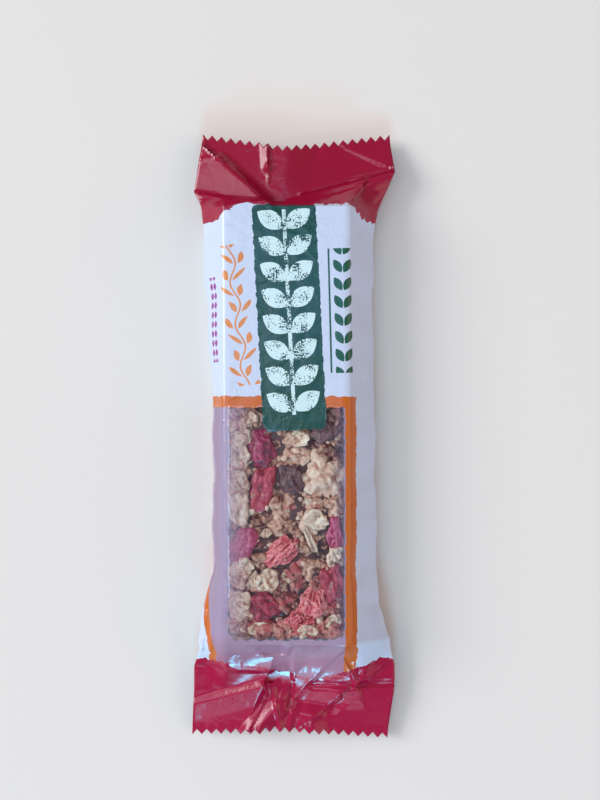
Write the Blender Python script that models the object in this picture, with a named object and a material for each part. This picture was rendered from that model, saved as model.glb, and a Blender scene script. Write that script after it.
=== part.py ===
"""A granola bar shut in its flow-wrap pack, lying on its back with the window side up.

The pack is one tube of film, flattened and sealed at both ends with a zigzag cut, and joined along the back
by a fin seal that is folded flat. It closes over the bar, which shows through the clear window in its front.
The bar is a pressed slab of oat flakes and crisp clusters with pieces of dried fruit, each a solid of its own.
Metres. +X is to the right of the front, +Y towards the plain printed end, +Z out of the front.
The origin is on the surface that the pack lies on, below the middle of its box.
"""

import math
import random

import bmesh
import bpy
import numpy as np
from mathutils import Matrix, Vector, noise

MM = 0.001

# The shapes are laid out from the middle of the plain printed front. This is the middle of the pack's whole box.
BOX_MIDDLE = (-0.35, 0.2, 0.0)

# The bar, outside its crumbs, and the room that the film leaves it.
BAR_WIDTH = 28.5
BAR_HEIGHT = 12.6
BAR_X = -1.9
BAR_Y = (-49.0, 55.5)
BAR_BOTTOM = 1.1
BAR_TOP = BAR_BOTTOM + BAR_HEIGHT
CRUMB = 0.75
TOP_CRUMB = 2.1
GAP = 0.3

# The film. It is modelled thicker than real film, so that it is a sound solid.
FILM = 0.6
FIN = 0.3
FIN_HALF_SEGMENTS = 4
BACK_Z = FIN
FRONT_Z = BAR_TOP + GAP + FILM
BODY_Y = (BAR_Y[0] - 0.7, BAR_Y[1] + 0.7)
CORNER_X = BAR_WIDTH / 2 + GAP + 0.8
SIDE_Z = (6.6, 5.8)
ROUNDING = 0.75
SEGMENTS = 80
FLAT_HALF = 25.0
SEAL = 0.5
TOOTH = 1.3

# How far out each side of the body bulges, at these places along it.
LEFT_SIDE = ((-49.7, -24.4), (-42.0, -22.9), (-33.0, -20.6), (9.0, -20.4), (28.0, -21.8), (47.0, -22.9), (56.2, -23.4))
RIGHT_SIDE = ((-49.7, 24.4), (-41.0, 21.3), (-10.0, 20.6), (30.0, 19.9), (48.0, 20.0), (56.2, 21.2))

# The print, in the same places as on the pack: the red ends, the label and the frame of the window.
RED_FROM = (-55.0, 53.5)
RED_DIP = 4.5
LABEL_HALF = 7.8
LABEL_END = 2.2
WINDOW_X = (-15.8, 12.0)
WINDOW_Y = (-48.5, 7.8)
FRAME_BAND = 3.0
LABEL_STEPS = (33, 46)
FRAME_STEPS = (19, 53)
CLEAR_STEPS = (22, 50)
BODY_RINGS = (-49.7, -47.0, -43.5, -40.0, -36.0, -31.0, -26.0, -21.0, -16.0, -11.0, -6.0, -2.0, 2.2, 7.8, 10.8,
              15.0, 20.0, 25.0, 30.0, 35.0, 40.0, 44.5, 48.5, 52.5, 56.2)
SHOULDER_RINGS = 5
SEAL_RINGS = 4

COLOURS = {
    "white_film": ((0.86, 0.88, 0.93), 0.35),
    "red_film": ((0.42, 0.01, 0.05), 0.25),
    "green_film": ((0.02, 0.17, 0.13), 0.3),
    "orange_film": ((0.70, 0.20, 0.03), 0.3),
    "clear_film": ((0.52, 0.46, 0.58), 0.15),
    "oat_crisp": ((0.50, 0.32, 0.20), 0.7),
    "dark_fruit": ((0.30, 0.02, 0.07), 0.5),
    "coral_fruit": ((0.62, 0.10, 0.08), 0.6),
    "black_fruit": ((0.04, 0.015, 0.03), 0.45),
}


class PackEnd:
    """One sealed end of the pack: where its seal starts and where it is cut, from left to right."""

    def __init__(self, sign, seal_line, seal_z, cut_line, cut_z, cut_half, cut_shift, side_haste, ridges):
        self.sign = sign
        self.seal_line = seal_line
        self.seal_z = seal_z
        self.cut_line = cut_line
        self.cut_z = cut_z
        self.cut_half = cut_half
        self.cut_shift = cut_shift
        self.side_haste = side_haste
        self.ridges = ridges


# Lines are values at the left edge, the middle and the right edge of the seal.
# A ridge is its place on the cut edge, its place on the seal line, its half width and its height at the cut.
ACROSS = (-FLAT_HALF, -3.0, FLAT_HALF)
TOP_END = PackEnd(
    sign=1,
    seal_line=(61.2, 58.6, 66.0),
    seal_z=(5.2, 6.4, 5.6),
    cut_line=(74.5, 71.2, 74.6),
    cut_z=(3.0, 5.2, 3.4),
    cut_half=23.3,
    cut_shift=0.5,
    side_haste=1.0,
    ridges=((-2.0, -3.0, 8.0, 3.6), (-9.5, -7.0, 2.6, 1.2)),
)
BOTTOM_END = PackEnd(
    sign=-1,
    seal_line=(-62.8, -61.4, -62.0),
    seal_z=(4.6, 5.8, 4.8),
    cut_line=(-73.4, -72.0, -74.2),
    cut_z=(2.4, 4.4, 2.8),
    cut_half=24.5,
    cut_shift=-1.2,
    side_haste=1.8,
    ridges=((-8.5, 0.5, 4.5, 2.6), (-1.5, 1.5, 2.4, 1.6), (6.0, 2.5, 4.0, 1.2)),
)

# Each piece of fruit in the window: its kind, its place, its half sizes and its turn in degrees.
FRUIT = {
    "berry_long_upper": ("dark_fruit", -7.9, -2.4, (3.0, 3.9, 1.9), 8),
    "berry_long_lower": ("dark_fruit", -7.6, -11.8, (2.9, 5.2, 1.9), -6),
    "berry_left": ("dark_fruit", -12.4, -25.9, (2.8, 4.3, 1.8), -32),
    "berry_right_upper": ("dark_fruit", 10.1, -23.2, (1.9, 4.1, 1.7), 4),
    "berry_right_lower": ("dark_fruit", 9.3, -35.2, (2.3, 4.3, 1.8), 5),
    "berry_bottom": ("dark_fruit", -7.1, -41.3, (3.6, 3.6, 1.9), 20),
    "strawberry_middle": ("coral_fruit", -2.8, -27.0, (2.6, 4.6, 1.7), -46),
    "strawberry_right": ("coral_fruit", 4.8, -39.8, (3.0, 2.9, 1.9), 10),
    "strawberry_low": ("coral_fruit", 1.2, -44.2, (2.3, 3.1, 1.6), -50),
    "currant_upper": ("black_fruit", 7.2, 1.7, (2.7, 2.2, 1.6), 12),
    "currant_middle": ("black_fruit", -0.9, -10.0, (2.5, 3.2, 1.6), 10),
}

# The clusters and flakes in the window: place and half sizes.
CLUSTERS = (
    (-13.2, 4.3, 2.9, 3.3), (-9.8, 5.2, 2.6, 2.9), (-12.8, 0.4, 2.8, 2.0), (0.0, 0.6, 3.5, 2.2),
    (0.2, -4.5, 3.3, 2.6), (10.0, 4.8, 2.1, 2.7), (7.2, -2.8, 3.4, 2.3), (6.6, -9.0, 4.7, 5.4),
    (-13.2, -7.5, 2.8, 4.0), (-13.2, -14.9, 2.8, 4.2), (-3.0, -15.6, 3.7, 3.4), (-3.0, -20.9, 4.5, 3.4),
    (4.2, -15.2, 3.3, 3.4), (4.8, -20.4, 3.5, 2.9), (10.0, -17.0, 2.2, 3.0), (-8.1, -29.0, 2.9, 2.6),
    (-9.2, -20.4, 2.6, 2.9), (-6.5, -34.6, 3.3, 3.0), (-0.5, -33.6, 3.1, 3.3), (4.4, -31.2, 3.0, 2.5),
    (5.4, -35.6, 2.0, 2.0), (9.9, -29.0, 2.2, 2.4), (-13.0, -33.1, 2.9, 3.4), (-12.6, -40.3, 2.9, 3.4),
    (-13.0, -45.6, 2.9, 2.9), (-8.3, -46.3, 3.2, 2.4), (-2.8, -46.5, 2.8, 2.2), (4.6, -46.4, 3.4, 2.3),
    (9.5, -41.8, 2.6, 3.2), (9.0, -46.2, 3.0, 2.5), (-1.8, -39.4, 2.8, 2.5), (2.6, -26.0, 2.3, 2.6),
)

# Under the print the clusters are strewn, this far apart and from this place on.
LUMP_PITCH = 8.2
STREWN_FROM = 9.5
LUMP_SEED = 7


def clear_scene():
    """Removes whatever the scene holds."""
    for old in list(bpy.data.objects):
        bpy.data.objects.remove(old)


def material(name):
    """The named plain material, made once."""
    found = bpy.data.materials.get(name)
    if found:
        return found
    colour, roughness = COLOURS[name]
    made = bpy.data.materials.new(name)
    made.use_nodes = True
    shader = made.node_tree.nodes["Principled BSDF"]
    shader.inputs["Base Color"].default_value = (*colour, 1.0)
    shader.inputs["Roughness"].default_value = roughness
    shader.inputs["Metallic"].default_value = 0.0
    made.diffuse_color = (*colour, 1.0)
    return made


def add_object(name, bm, *materials):
    """Makes an object of the bmesh, which is in millimetres, and frees the bmesh."""
    bmesh.ops.recalc_face_normals(bm, faces=bm.faces)
    bmesh.ops.translate(bm, vec=-Vector(BOX_MIDDLE), verts=bm.verts)
    bmesh.ops.scale(bm, vec=(MM, MM, MM), verts=bm.verts)
    mesh = bpy.data.meshes.new(name)
    bm.to_mesh(mesh)
    bm.free()
    for each in materials:
        mesh.materials.append(material(each))
    made = bpy.data.objects.new(name, mesh)
    bpy.context.scene.collection.objects.link(made)
    return made


def as_cutter(obj):
    """Marks an object as a helper that only cuts."""
    obj.hide_render = True
    obj.display_type = "WIRE"
    return obj


def apply_modifiers(obj):
    """Puts the object's evaluated shape in its mesh and drops its modifiers."""
    graph = bpy.context.evaluated_depsgraph_get()
    obj.data = bpy.data.meshes.new_from_object(obj.evaluated_get(graph))
    obj.modifiers.clear()


# Film


def rounded_outline(corners, rounding, count):
    """Points evenly spaced along a closed outline with soft corners, from its first corner on."""
    dense = 1200
    closed = np.array([*corners, corners[0]], float)
    along = np.concatenate([[0.0], np.cumsum(np.linalg.norm(np.diff(closed, axis=0), axis=1))])
    places = np.linspace(0.0, along[-1], dense, endpoint=False)
    line = np.stack([np.interp(places, along, closed[:, axis]) for axis in (0, 1)], axis=1)
    reach = rounding / (along[-1] / dense)
    offsets = np.arange(dense)
    offsets = np.minimum(offsets, dense - offsets)
    kernel = np.exp(-0.5 * (offsets / reach) ** 2)
    spectrum = np.fft.fft(kernel / kernel.sum())[:, None]
    line = np.real(np.fft.ifft(np.fft.fft(line, axis=0) * spectrum, axis=0))
    closed = np.vstack([line, line[:1]])
    along = np.concatenate([[0.0], np.cumsum(np.linalg.norm(np.diff(closed, axis=0), axis=1))])
    places = np.linspace(0.0, along[-1], count, endpoint=False)
    return np.stack([np.interp(places, along, closed[:, axis]) for axis in (0, 1)], axis=1)


def smooth_step(value, low, high):
    """0 below low, 1 above high and a soft rise between."""
    share = np.clip((value - low) / (high - low), 0.0, 1.0)
    return share * share * (3 - 2 * share)


def fin_push():
    """How far each point of a ring stands out over the back, where the fin seal is folded against it."""
    steps = np.arange(SEGMENTS)
    from_middle = np.minimum(steps, SEGMENTS - steps)
    return np.where(from_middle <= FIN_HALF_SEGMENTS, FIN, 0.0)


def body_ring(y):
    """The film round the bar at this place along it."""
    left = np.interp(y, *np.array(LEFT_SIDE).T)
    right = np.interp(y, *np.array(RIGHT_SIDE).T)
    corners = (
        (BAR_X, BACK_Z),
        (BAR_X - CORNER_X, BACK_Z),
        (left, SIDE_Z[0]),
        (BAR_X - CORNER_X, FRONT_Z),
        (BAR_X + CORNER_X, FRONT_Z),
        (right, SIDE_Z[1]),
        (BAR_X + CORNER_X, BACK_Z),
    )
    outline = rounded_outline(corners, ROUNDING, SEGMENTS)
    x, z = outline[:, 0], outline[:, 1]
    beside = smooth_step(np.abs(x - BAR_X), CORNER_X, CORNER_X + 2.5)
    slack = 0.18 * np.sin(0.31 * y + 1.3) + 0.16 * np.sin(0.83 * y + 0.4)
    x = x + beside * slack * np.sign(x)
    z = z - fin_push()
    return np.stack([x, np.full(SEGMENTS, y), z], axis=1)


def flat_ring():
    """Across the flattened tube: each point's place from left to right, and its side of the seal."""
    share = np.arange(SEGMENTS) / SEGMENTS
    width = 2 * FLAT_HALF
    x = np.where(
        share <= 0.25,
        -2 * width * share,
        np.where(share <= 0.75, -width + 2 * width * share, 2 * width - 2 * width * share),
    )
    front = np.where((share > 0.25) & (share < 0.75), 1.0, np.where((share < 0.25) | (share > 0.75), -1.0, 0.0))
    return x, front


def seal_ring(end, share):
    """The film of a sealed end, from where the seal starts (0) to where it is cut (1)."""
    x, front = flat_ring()
    y = (1 - share) * np.interp(x, ACROSS, end.seal_line) + share * np.interp(x, ACROSS, end.cut_line)
    z = (1 - share) * np.interp(x, ACROSS, end.seal_z) + share * np.interp(x, ACROSS, end.cut_z)
    for cut_x, seal_x, half_width, height in end.ridges:
        middle = (1 - share) * seal_x + share * cut_x
        z = z + share * height * np.clip(1 - np.abs(x - middle) / half_width, 0.0, 1.0)
    if share == 1.0:
        y = y + end.sign * TOOTH * (np.arange(SEGMENTS) % 2 == 0)
    z = z + front * SEAL / 2 - fin_push() * (front <= 0)
    narrowing = (1 - share) + share * end.cut_half / FLAT_HALF
    return np.stack([x * narrowing + share * end.cut_shift, y, z], axis=1)


def shoulder_ring(end, share):
    """The film between the end of the bar (0) and the start of the seal (1)."""
    body = body_ring(BODY_Y[1] if end.sign > 0 else BODY_Y[0])
    seal = seal_ring(end, 0.0)
    flat_x, _ = flat_ring()
    side = smooth_step(np.abs(flat_x), 16.0, 23.0)
    haste = np.clip(share * end.side_haste, 0.0, 1.0)
    blend = ((1 - side) * share + side * haste)[:, None]
    ring = (1 - blend) * body + blend * seal
    ring[:, 1] = (1 - share) * body[:, 1] + share * seal[:, 1]
    return ring


def film_rings():
    """Every ring of the pack, from the cut edge of the bottom end to that of the top end."""
    shoulder = [step / SHOULDER_RINGS for step in range(1, SHOULDER_RINGS + 1)]
    seal = [step / SEAL_RINGS for step in range(1, SEAL_RINGS + 1)]
    rings = [seal_ring(BOTTOM_END, share) for share in reversed(seal)]
    rings += [shoulder_ring(BOTTOM_END, share) for share in reversed(shoulder)]
    rings += [body_ring(y) for y in BODY_RINGS]
    rings += [shoulder_ring(TOP_END, share) for share in shoulder]
    rings += [seal_ring(TOP_END, share) for share in seal]
    return rings


def film_colour(step, centre):
    """Which of the wrapper's materials a face takes, by its place round the tube and along it."""
    y = centre.y
    dip = RED_DIP * max(0.0, 1 - abs(centre.x) / FLAT_HALF)
    if y < RED_FROM[0] - dip or y > RED_FROM[1] + dip:
        return 1
    lean = round((y - 5) / 45)
    if y > LABEL_END and LABEL_STEPS[0] <= step + lean < LABEL_STEPS[1]:
        return 2
    if y < WINDOW_Y[1] and CLEAR_STEPS[0] <= step < CLEAR_STEPS[1]:
        return 4
    if y < WINDOW_Y[1] + FRAME_BAND and FRAME_STEPS[0] <= step < FRAME_STEPS[1]:
        return 3
    return 0


def close_cut_edge(bm, ring):
    """Joins the front and the back film along a cut edge."""
    half = SEGMENTS // 4
    for step in range(2 * half):
        front_near = ring[half + step]
        front_far = ring[half + step + 1]
        back_near = ring[(half - step) % SEGMENTS]
        back_far = ring[(half - step - 1) % SEGMENTS]
        corners = [front_near, front_far, back_far, back_near]
        bm.faces.new(list(dict.fromkeys(corners))).material_index = 1


def build_wrapper():
    """The film as one solid, with room for the bar and an open window over it."""
    bm = bmesh.new()
    rings = [[bm.verts.new(point) for point in ring] for ring in film_rings()]
    for near, far in zip(rings, rings[1:]):
        for step in range(SEGMENTS):
            after = (step + 1) % SEGMENTS
            face = bm.faces.new((near[step], near[after], far[after], far[step]))
            face.material_index = film_colour(step, face.calc_center_median())
    for ring in (rings[0], rings[-1]):
        close_cut_edge(bm, ring)
    wrapper = add_object("wrapper", bm, "white_film", "red_film", "green_film", "orange_film", "clear_film")
    for cutter in (bar_room(), window_cutter()):
        cut = wrapper.modifiers.new(cutter.name, "BOOLEAN")
        cut.operation = "DIFFERENCE"
        cut.object = cutter


def bar_room():
    """Cuts the room that the film leaves round the bar."""
    half = BAR_WIDTH / 2 + GAP
    low = Vector((BAR_X - half, BAR_Y[0] - GAP, BAR_BOTTOM - GAP))
    high = Vector((BAR_X + half, BAR_Y[1] + GAP, BAR_TOP + GAP))
    bm = bmesh.new()
    bmesh.ops.create_cube(bm, size=1.0)
    bmesh.ops.scale(bm, vec=high - low, verts=bm.verts)
    bmesh.ops.translate(bm, vec=(low + high) / 2, verts=bm.verts)
    return as_cutter(add_object("bar_room", bm))


def window_cutter():
    """Cuts the window over the bar, up to the rounded end of the label that reaches into it."""
    x_low, x_high = WINDOW_X
    y_low, y_high = WINDOW_Y
    soft = 1.6
    outline = [
        (x_low + soft, y_low),
        (x_high - soft, y_low),
        (x_high, y_low + soft),
        (x_high, y_high),
        (LABEL_HALF, y_high),
        (LABEL_HALF, LABEL_END + soft),
        (LABEL_HALF - soft, LABEL_END),
        (-LABEL_HALF + soft, LABEL_END),
        (-LABEL_HALF, LABEL_END + soft),
        (-LABEL_HALF, y_high),
        (x_low, y_high),
        (x_low, y_low + soft),
    ]
    bm = bmesh.new()
    base = bm.faces.new([bm.verts.new((x, y, BAR_TOP - 0.4)) for x, y in outline])
    raised = bmesh.ops.extrude_face_region(bm, geom=[base])["geom"]
    top = [each for each in raised if isinstance(each, bmesh.types.BMVert)]
    bmesh.ops.translate(bm, vec=(0, 0, 4.0), verts=top)
    return as_cutter(add_object("window_cutter", bm))


# Bar


def lump(bm, centre, half_sizes, turn, unevenness, seed):
    """Adds one rough pebble to the bmesh: a crisp cluster, a flake or a piece of fruit."""
    made = bmesh.ops.create_icosphere(bm, subdivisions=2, radius=1.0)["verts"]
    shift = Vector((seed * 3.7, seed * 1.9, seed * 5.3))
    spin = Matrix.Rotation(turn, 4, "Z")
    for vert in made:
        vert.co *= 1.0 + unevenness * noise.noise(vert.co * 1.6 + shift)
    reach = [max(abs(vert.co[axis]) for vert in made) for axis in range(3)]
    for vert in made:
        fitted = Vector(part * size / most for part, size, most in zip(vert.co, half_sizes, reach))
        vert.co = Vector(centre) + spin @ fitted


def top_lumps(rng):
    """Places, half sizes and turns of the flakes and clusters on top."""
    for x, y, half_x, half_y in CLUSTERS:
        half_z = rng.uniform(1.6, 2.4)
        yield (x, y, BAR_TOP - half_z * 1.02 - rng.uniform(0.0, 0.6)), (half_x, half_y, half_z), 0.0
    rows = round((BAR_Y[1] - STREWN_FROM) / LUMP_PITCH)
    for row in range(rows):
        for column in (-1, 0, 1):
            half = (rng.uniform(3.6, 4.6), rng.uniform(3.8, 4.7), rng.uniform(1.6, 2.4))
            x = BAR_X + column * (BAR_WIDTH / 2 - 4.9) + rng.uniform(-0.3, 0.3)
            y = STREWN_FROM + LUMP_PITCH * (row + 0.5) + rng.uniform(-1.0, 1.0)
            y = min(y, BAR_Y[1] - half[1] - 0.1)
            yield (x, y, BAR_TOP - half[2] * 1.02 - rng.uniform(0.0, 0.6)), half, 0.0


def side_lumps(rng):
    """Places and half sizes of the flakes and clusters that stand out of the cut sides and ends."""
    edge_x = BAR_WIDTH / 2 - CRUMB
    for side in (-1, 1):
        for row in range(10):
            y = BAR_Y[0] + 5.5 + row * 10.3 + rng.uniform(-1.5, 1.5)
            z = BAR_BOTTOM + BAR_HEIGHT * rng.uniform(0.3, 0.62)
            yield (BAR_X + side * (edge_x - 0.9), y, z), (1.55, 3.6, 2.6), 0.0
    for y in (BAR_Y[0] + CRUMB + 0.9, BAR_Y[1] - CRUMB - 0.9):
        for x in (-8.0, 0.5, 7.5):
            yield (BAR_X + x, y, BAR_BOTTOM + BAR_HEIGHT * 0.45), (3.4, 1.55, 2.6), 0.0


def bar_core():
    """The pressed slab that carries the lumps, with its long edges taken off."""
    bm = bmesh.new()
    bmesh.ops.create_cube(bm, size=1.0)
    size = Vector((BAR_WIDTH - 2 * CRUMB, BAR_Y[1] - BAR_Y[0] - 2 * CRUMB, BAR_HEIGHT - TOP_CRUMB))
    bmesh.ops.scale(bm, vec=size, verts=bm.verts)
    middle = Vector((BAR_X, sum(BAR_Y) / 2, BAR_BOTTOM + size.z / 2))
    bmesh.ops.translate(bm, vec=middle, verts=bm.verts)
    bmesh.ops.bevel(bm, geom=bm.edges, offset=0.9, segments=1, affect="EDGES")
    return add_object("bar", bm, "oat_crisp")


def boolean_with(obj, collection, operation):
    """Joins or cuts the object with everything in the collection, applies it and removes the collection."""
    change = obj.modifiers.new(operation.lower(), "BOOLEAN")
    change.operation = operation
    change.operand_type = "COLLECTION"
    change.collection = collection
    change.solver = "EXACT"
    apply_modifiers(obj)
    for used in list(collection.objects):
        bpy.data.objects.remove(used)
    bpy.data.collections.remove(collection)


def keep_largest_shell(obj):
    """Fills the pockets shut in between lumps and drops the crumbs that a cut has set loose."""
    bm = bmesh.new()
    bm.from_mesh(obj.data)
    unseen = set(bm.verts)
    shells = []
    while unseen:
        shell = [unseen.pop()]
        for vert in shell:
            near = [edge.other_vert(vert) for edge in vert.link_edges]
            shell += [other for other in near if other in unseen]
            unseen.difference_update(near)
        shells.append(shell)
    shells.sort(key=len)
    bmesh.ops.delete(bm, geom=[vert for shell in shells[:-1] for vert in shell], context="VERTS")
    bm.to_mesh(obj.data)
    bm.free()


def gathered(name, objects):
    """A collection that holds just these objects."""
    collection = bpy.data.collections.new(name)
    bpy.context.scene.collection.children.link(collection)
    for each in objects:
        bpy.context.scene.collection.objects.unlink(each)
        collection.objects.link(each)
    return collection


def fruit_shape(name, grow):
    """A piece of fruit as a bmesh, grown by this much all round."""
    _, x, y, half_sizes, degrees = FRUIT[name]
    seed = 40 + list(FRUIT).index(name)
    half = [size + grow for size in half_sizes]
    bm = bmesh.new()
    lump(bm, (x, y, BAR_TOP - half_sizes[2] * 1.12), half, math.radians(degrees), 0.22, seed)
    return bm


def build_bar():
    """The slab with its flakes and clusters fused on, and a hollow for each piece of fruit."""
    rng = random.Random(LUMP_SEED)
    bar = bar_core()
    lumps = []
    for count, (centre, half, turn) in enumerate([*top_lumps(rng), *side_lumps(rng)]):
        bm = bmesh.new()
        lump(bm, centre, half, turn, 0.3 if half[2] < 2.5 else 0.15, count)
        lumps.append(add_object(f"lump_{count}", bm))
    boolean_with(bar, gathered("lumps", lumps), "UNION")
    hollows = [add_object(f"hollow_{name}", fruit_shape(name, GAP)) for name in FRUIT]
    boolean_with(bar, gathered("hollows", hollows), "DIFFERENCE")
    keep_largest_shell(bar)


def build_fruit():
    """Each piece of fruit that shows in the window."""
    for name, (kind, *_) in FRUIT.items():
        piece = add_object(name, fruit_shape(name, 0.0), kind)
        piece.data.shade_smooth()


clear_scene()
build_wrapper()
build_bar()
build_fruit()
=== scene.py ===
"""The looks of a granola bar that is shut in its flow-wrap pack and lies on its back, window side up.

Drawing sizes are in millimetres: x to the right of the printed front and y towards the plain printed end,
both from the middle of that front, and z up from the surface that the pack lies on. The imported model's origin
is on that surface, below the middle of the pack's whole box.
"""

import logging
import math
import random
from dataclasses import dataclass, field
from enum import Enum

import bpy
import numpy as np
from mathutils import Matrix, Vector, noise


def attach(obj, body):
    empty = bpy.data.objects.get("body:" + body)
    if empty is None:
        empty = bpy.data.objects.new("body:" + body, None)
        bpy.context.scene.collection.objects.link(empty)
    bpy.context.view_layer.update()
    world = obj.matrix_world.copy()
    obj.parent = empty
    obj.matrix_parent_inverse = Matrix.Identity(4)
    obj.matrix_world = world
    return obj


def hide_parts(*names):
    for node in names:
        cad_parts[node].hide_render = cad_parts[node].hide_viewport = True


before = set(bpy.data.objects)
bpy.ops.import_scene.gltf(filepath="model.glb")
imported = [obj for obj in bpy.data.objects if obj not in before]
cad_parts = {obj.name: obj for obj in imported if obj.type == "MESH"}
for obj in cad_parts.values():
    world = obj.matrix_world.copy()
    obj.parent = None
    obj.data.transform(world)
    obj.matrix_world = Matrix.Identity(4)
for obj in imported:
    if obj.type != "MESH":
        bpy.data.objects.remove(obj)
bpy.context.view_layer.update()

MM = 0.001
BOX_MIDDLE = np.array([-0.35, 0.2, 0.0])
PRINT_MAP = "print_mm"
BAKE_MAP = "OFBake"
NOISE_SEED = 11

# The pressed bar: its middle across the pack, half its width and its two ends.
BAR_X = -1.9
BAR_HALF = 14.25
BAR_Y = (-49.0, 55.5)

# The edges of the print that the clear faces of the film follow too. The window's left edge runs from the
# first place across, at the first place along, to the second.
WINDOW_LEFT_X = (-20.6, -26.6)
WINDOW_LEFT_Y = (-52.0, -30.0)
WINDOW_RIGHT = 12.4
WINDOW_TOP = 7.6
LABEL_MIDDLE = (-1.2, 29.6)
LABEL_TURN = 3.0
LABEL_HALF = (7.7, 27.6)
LABEL_CORNER = 1.8
# The red of the window end dips lowest at one place across, and rises over this reach to both sides of it.
DIP_X = 5.0
DIP_REACH = 17.5
DIP_Y = (-60.2, -54.7)

Socket = bpy.types.NodeSocket
Mesh = tuple[np.ndarray, np.ndarray]
Lump = tuple[np.ndarray, np.ndarray, np.ndarray]
Three = tuple[float, float, float]
Line = tuple[tuple[float, float], ...]

log = logging.getLogger("granola_bar")


class Fruit(Enum):
    """The kinds of dried fruit, each with the name of a slot of the record."""

    BERRY = "dark_fruit"
    STRAWBERRY = "coral_fruit"
    CURRANT = "black_fruit"


def srgb(code: str) -> tuple[float, float, float, float]:
    """Turns a colour as a screen shows it into the linear colour that a shader takes.

    Args:
        code: The colour as six hex digits after a hash.

    Returns:
        Linear red, green and blue, and an alpha of 1.
    """
    parts = [int(code[place : place + 2], 16) / 255 for place in (1, 3, 5)]
    linear = [part / 12.92 if part <= 0.04045 else ((part + 0.055) / 1.055) ** 2.4 for part in parts]
    return (*linear, 1.0)


def add_node(
    tree: bpy.types.NodeTree, kind: str, inputs: dict | None = None, **settings: str
) -> bpy.types.NodeOutputs:
    """Adds a shader node with its settings, and fills or links its inputs.

    Args:
        tree: The node tree.
        kind: The end of the node's class name, such as Math for ShaderNodeMath.
        inputs: Socket name or number to a value, or to the socket that feeds it.
        settings: The node's own settings.

    Returns:
        The new node's outputs.
    """
    node = tree.nodes.new(f"ShaderNode{kind}")
    for name, value in settings.items():
        setattr(node, name, value)
    for name, value in (inputs or {}).items():
        if isinstance(value, Socket):
            tree.links.new(value, node.inputs[name])
        else:
            node.inputs[name].default_value = value
    return node.outputs


def smooth_step(value: np.ndarray, low: float, high: float) -> np.ndarray:
    """0 below low, 1 above high and a soft rise between."""
    share = np.clip((value - low) / (high - low), 0.0, 1.0)
    return share * share * (3 - 2 * share)


def place_mesh(obj: bpy.types.Object, points: np.ndarray) -> None:
    """Puts drawing points in millimetres in an object's mesh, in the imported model's frame.

    Args:
        obj: The object, which sits at the origin.
        points: One row for each vertex.
    """
    moved = ((points - BOX_MIDDLE) * MM).astype(np.float32)
    obj.data.vertices.foreach_set("co", moved.ravel())
    obj.data.update()


def dress(obj: bpy.types.Object, *materials: bpy.types.Material) -> None:
    """Gives the object just these materials."""
    obj.data.materials.clear()
    for each in materials:
        obj.data.materials.append(each)


def deselect_all() -> None:
    """Clears the selection, which holds the CAD nodes after loading."""
    for each in bpy.context.selected_objects:
        each.select_set(False)


# Finishes


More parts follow.
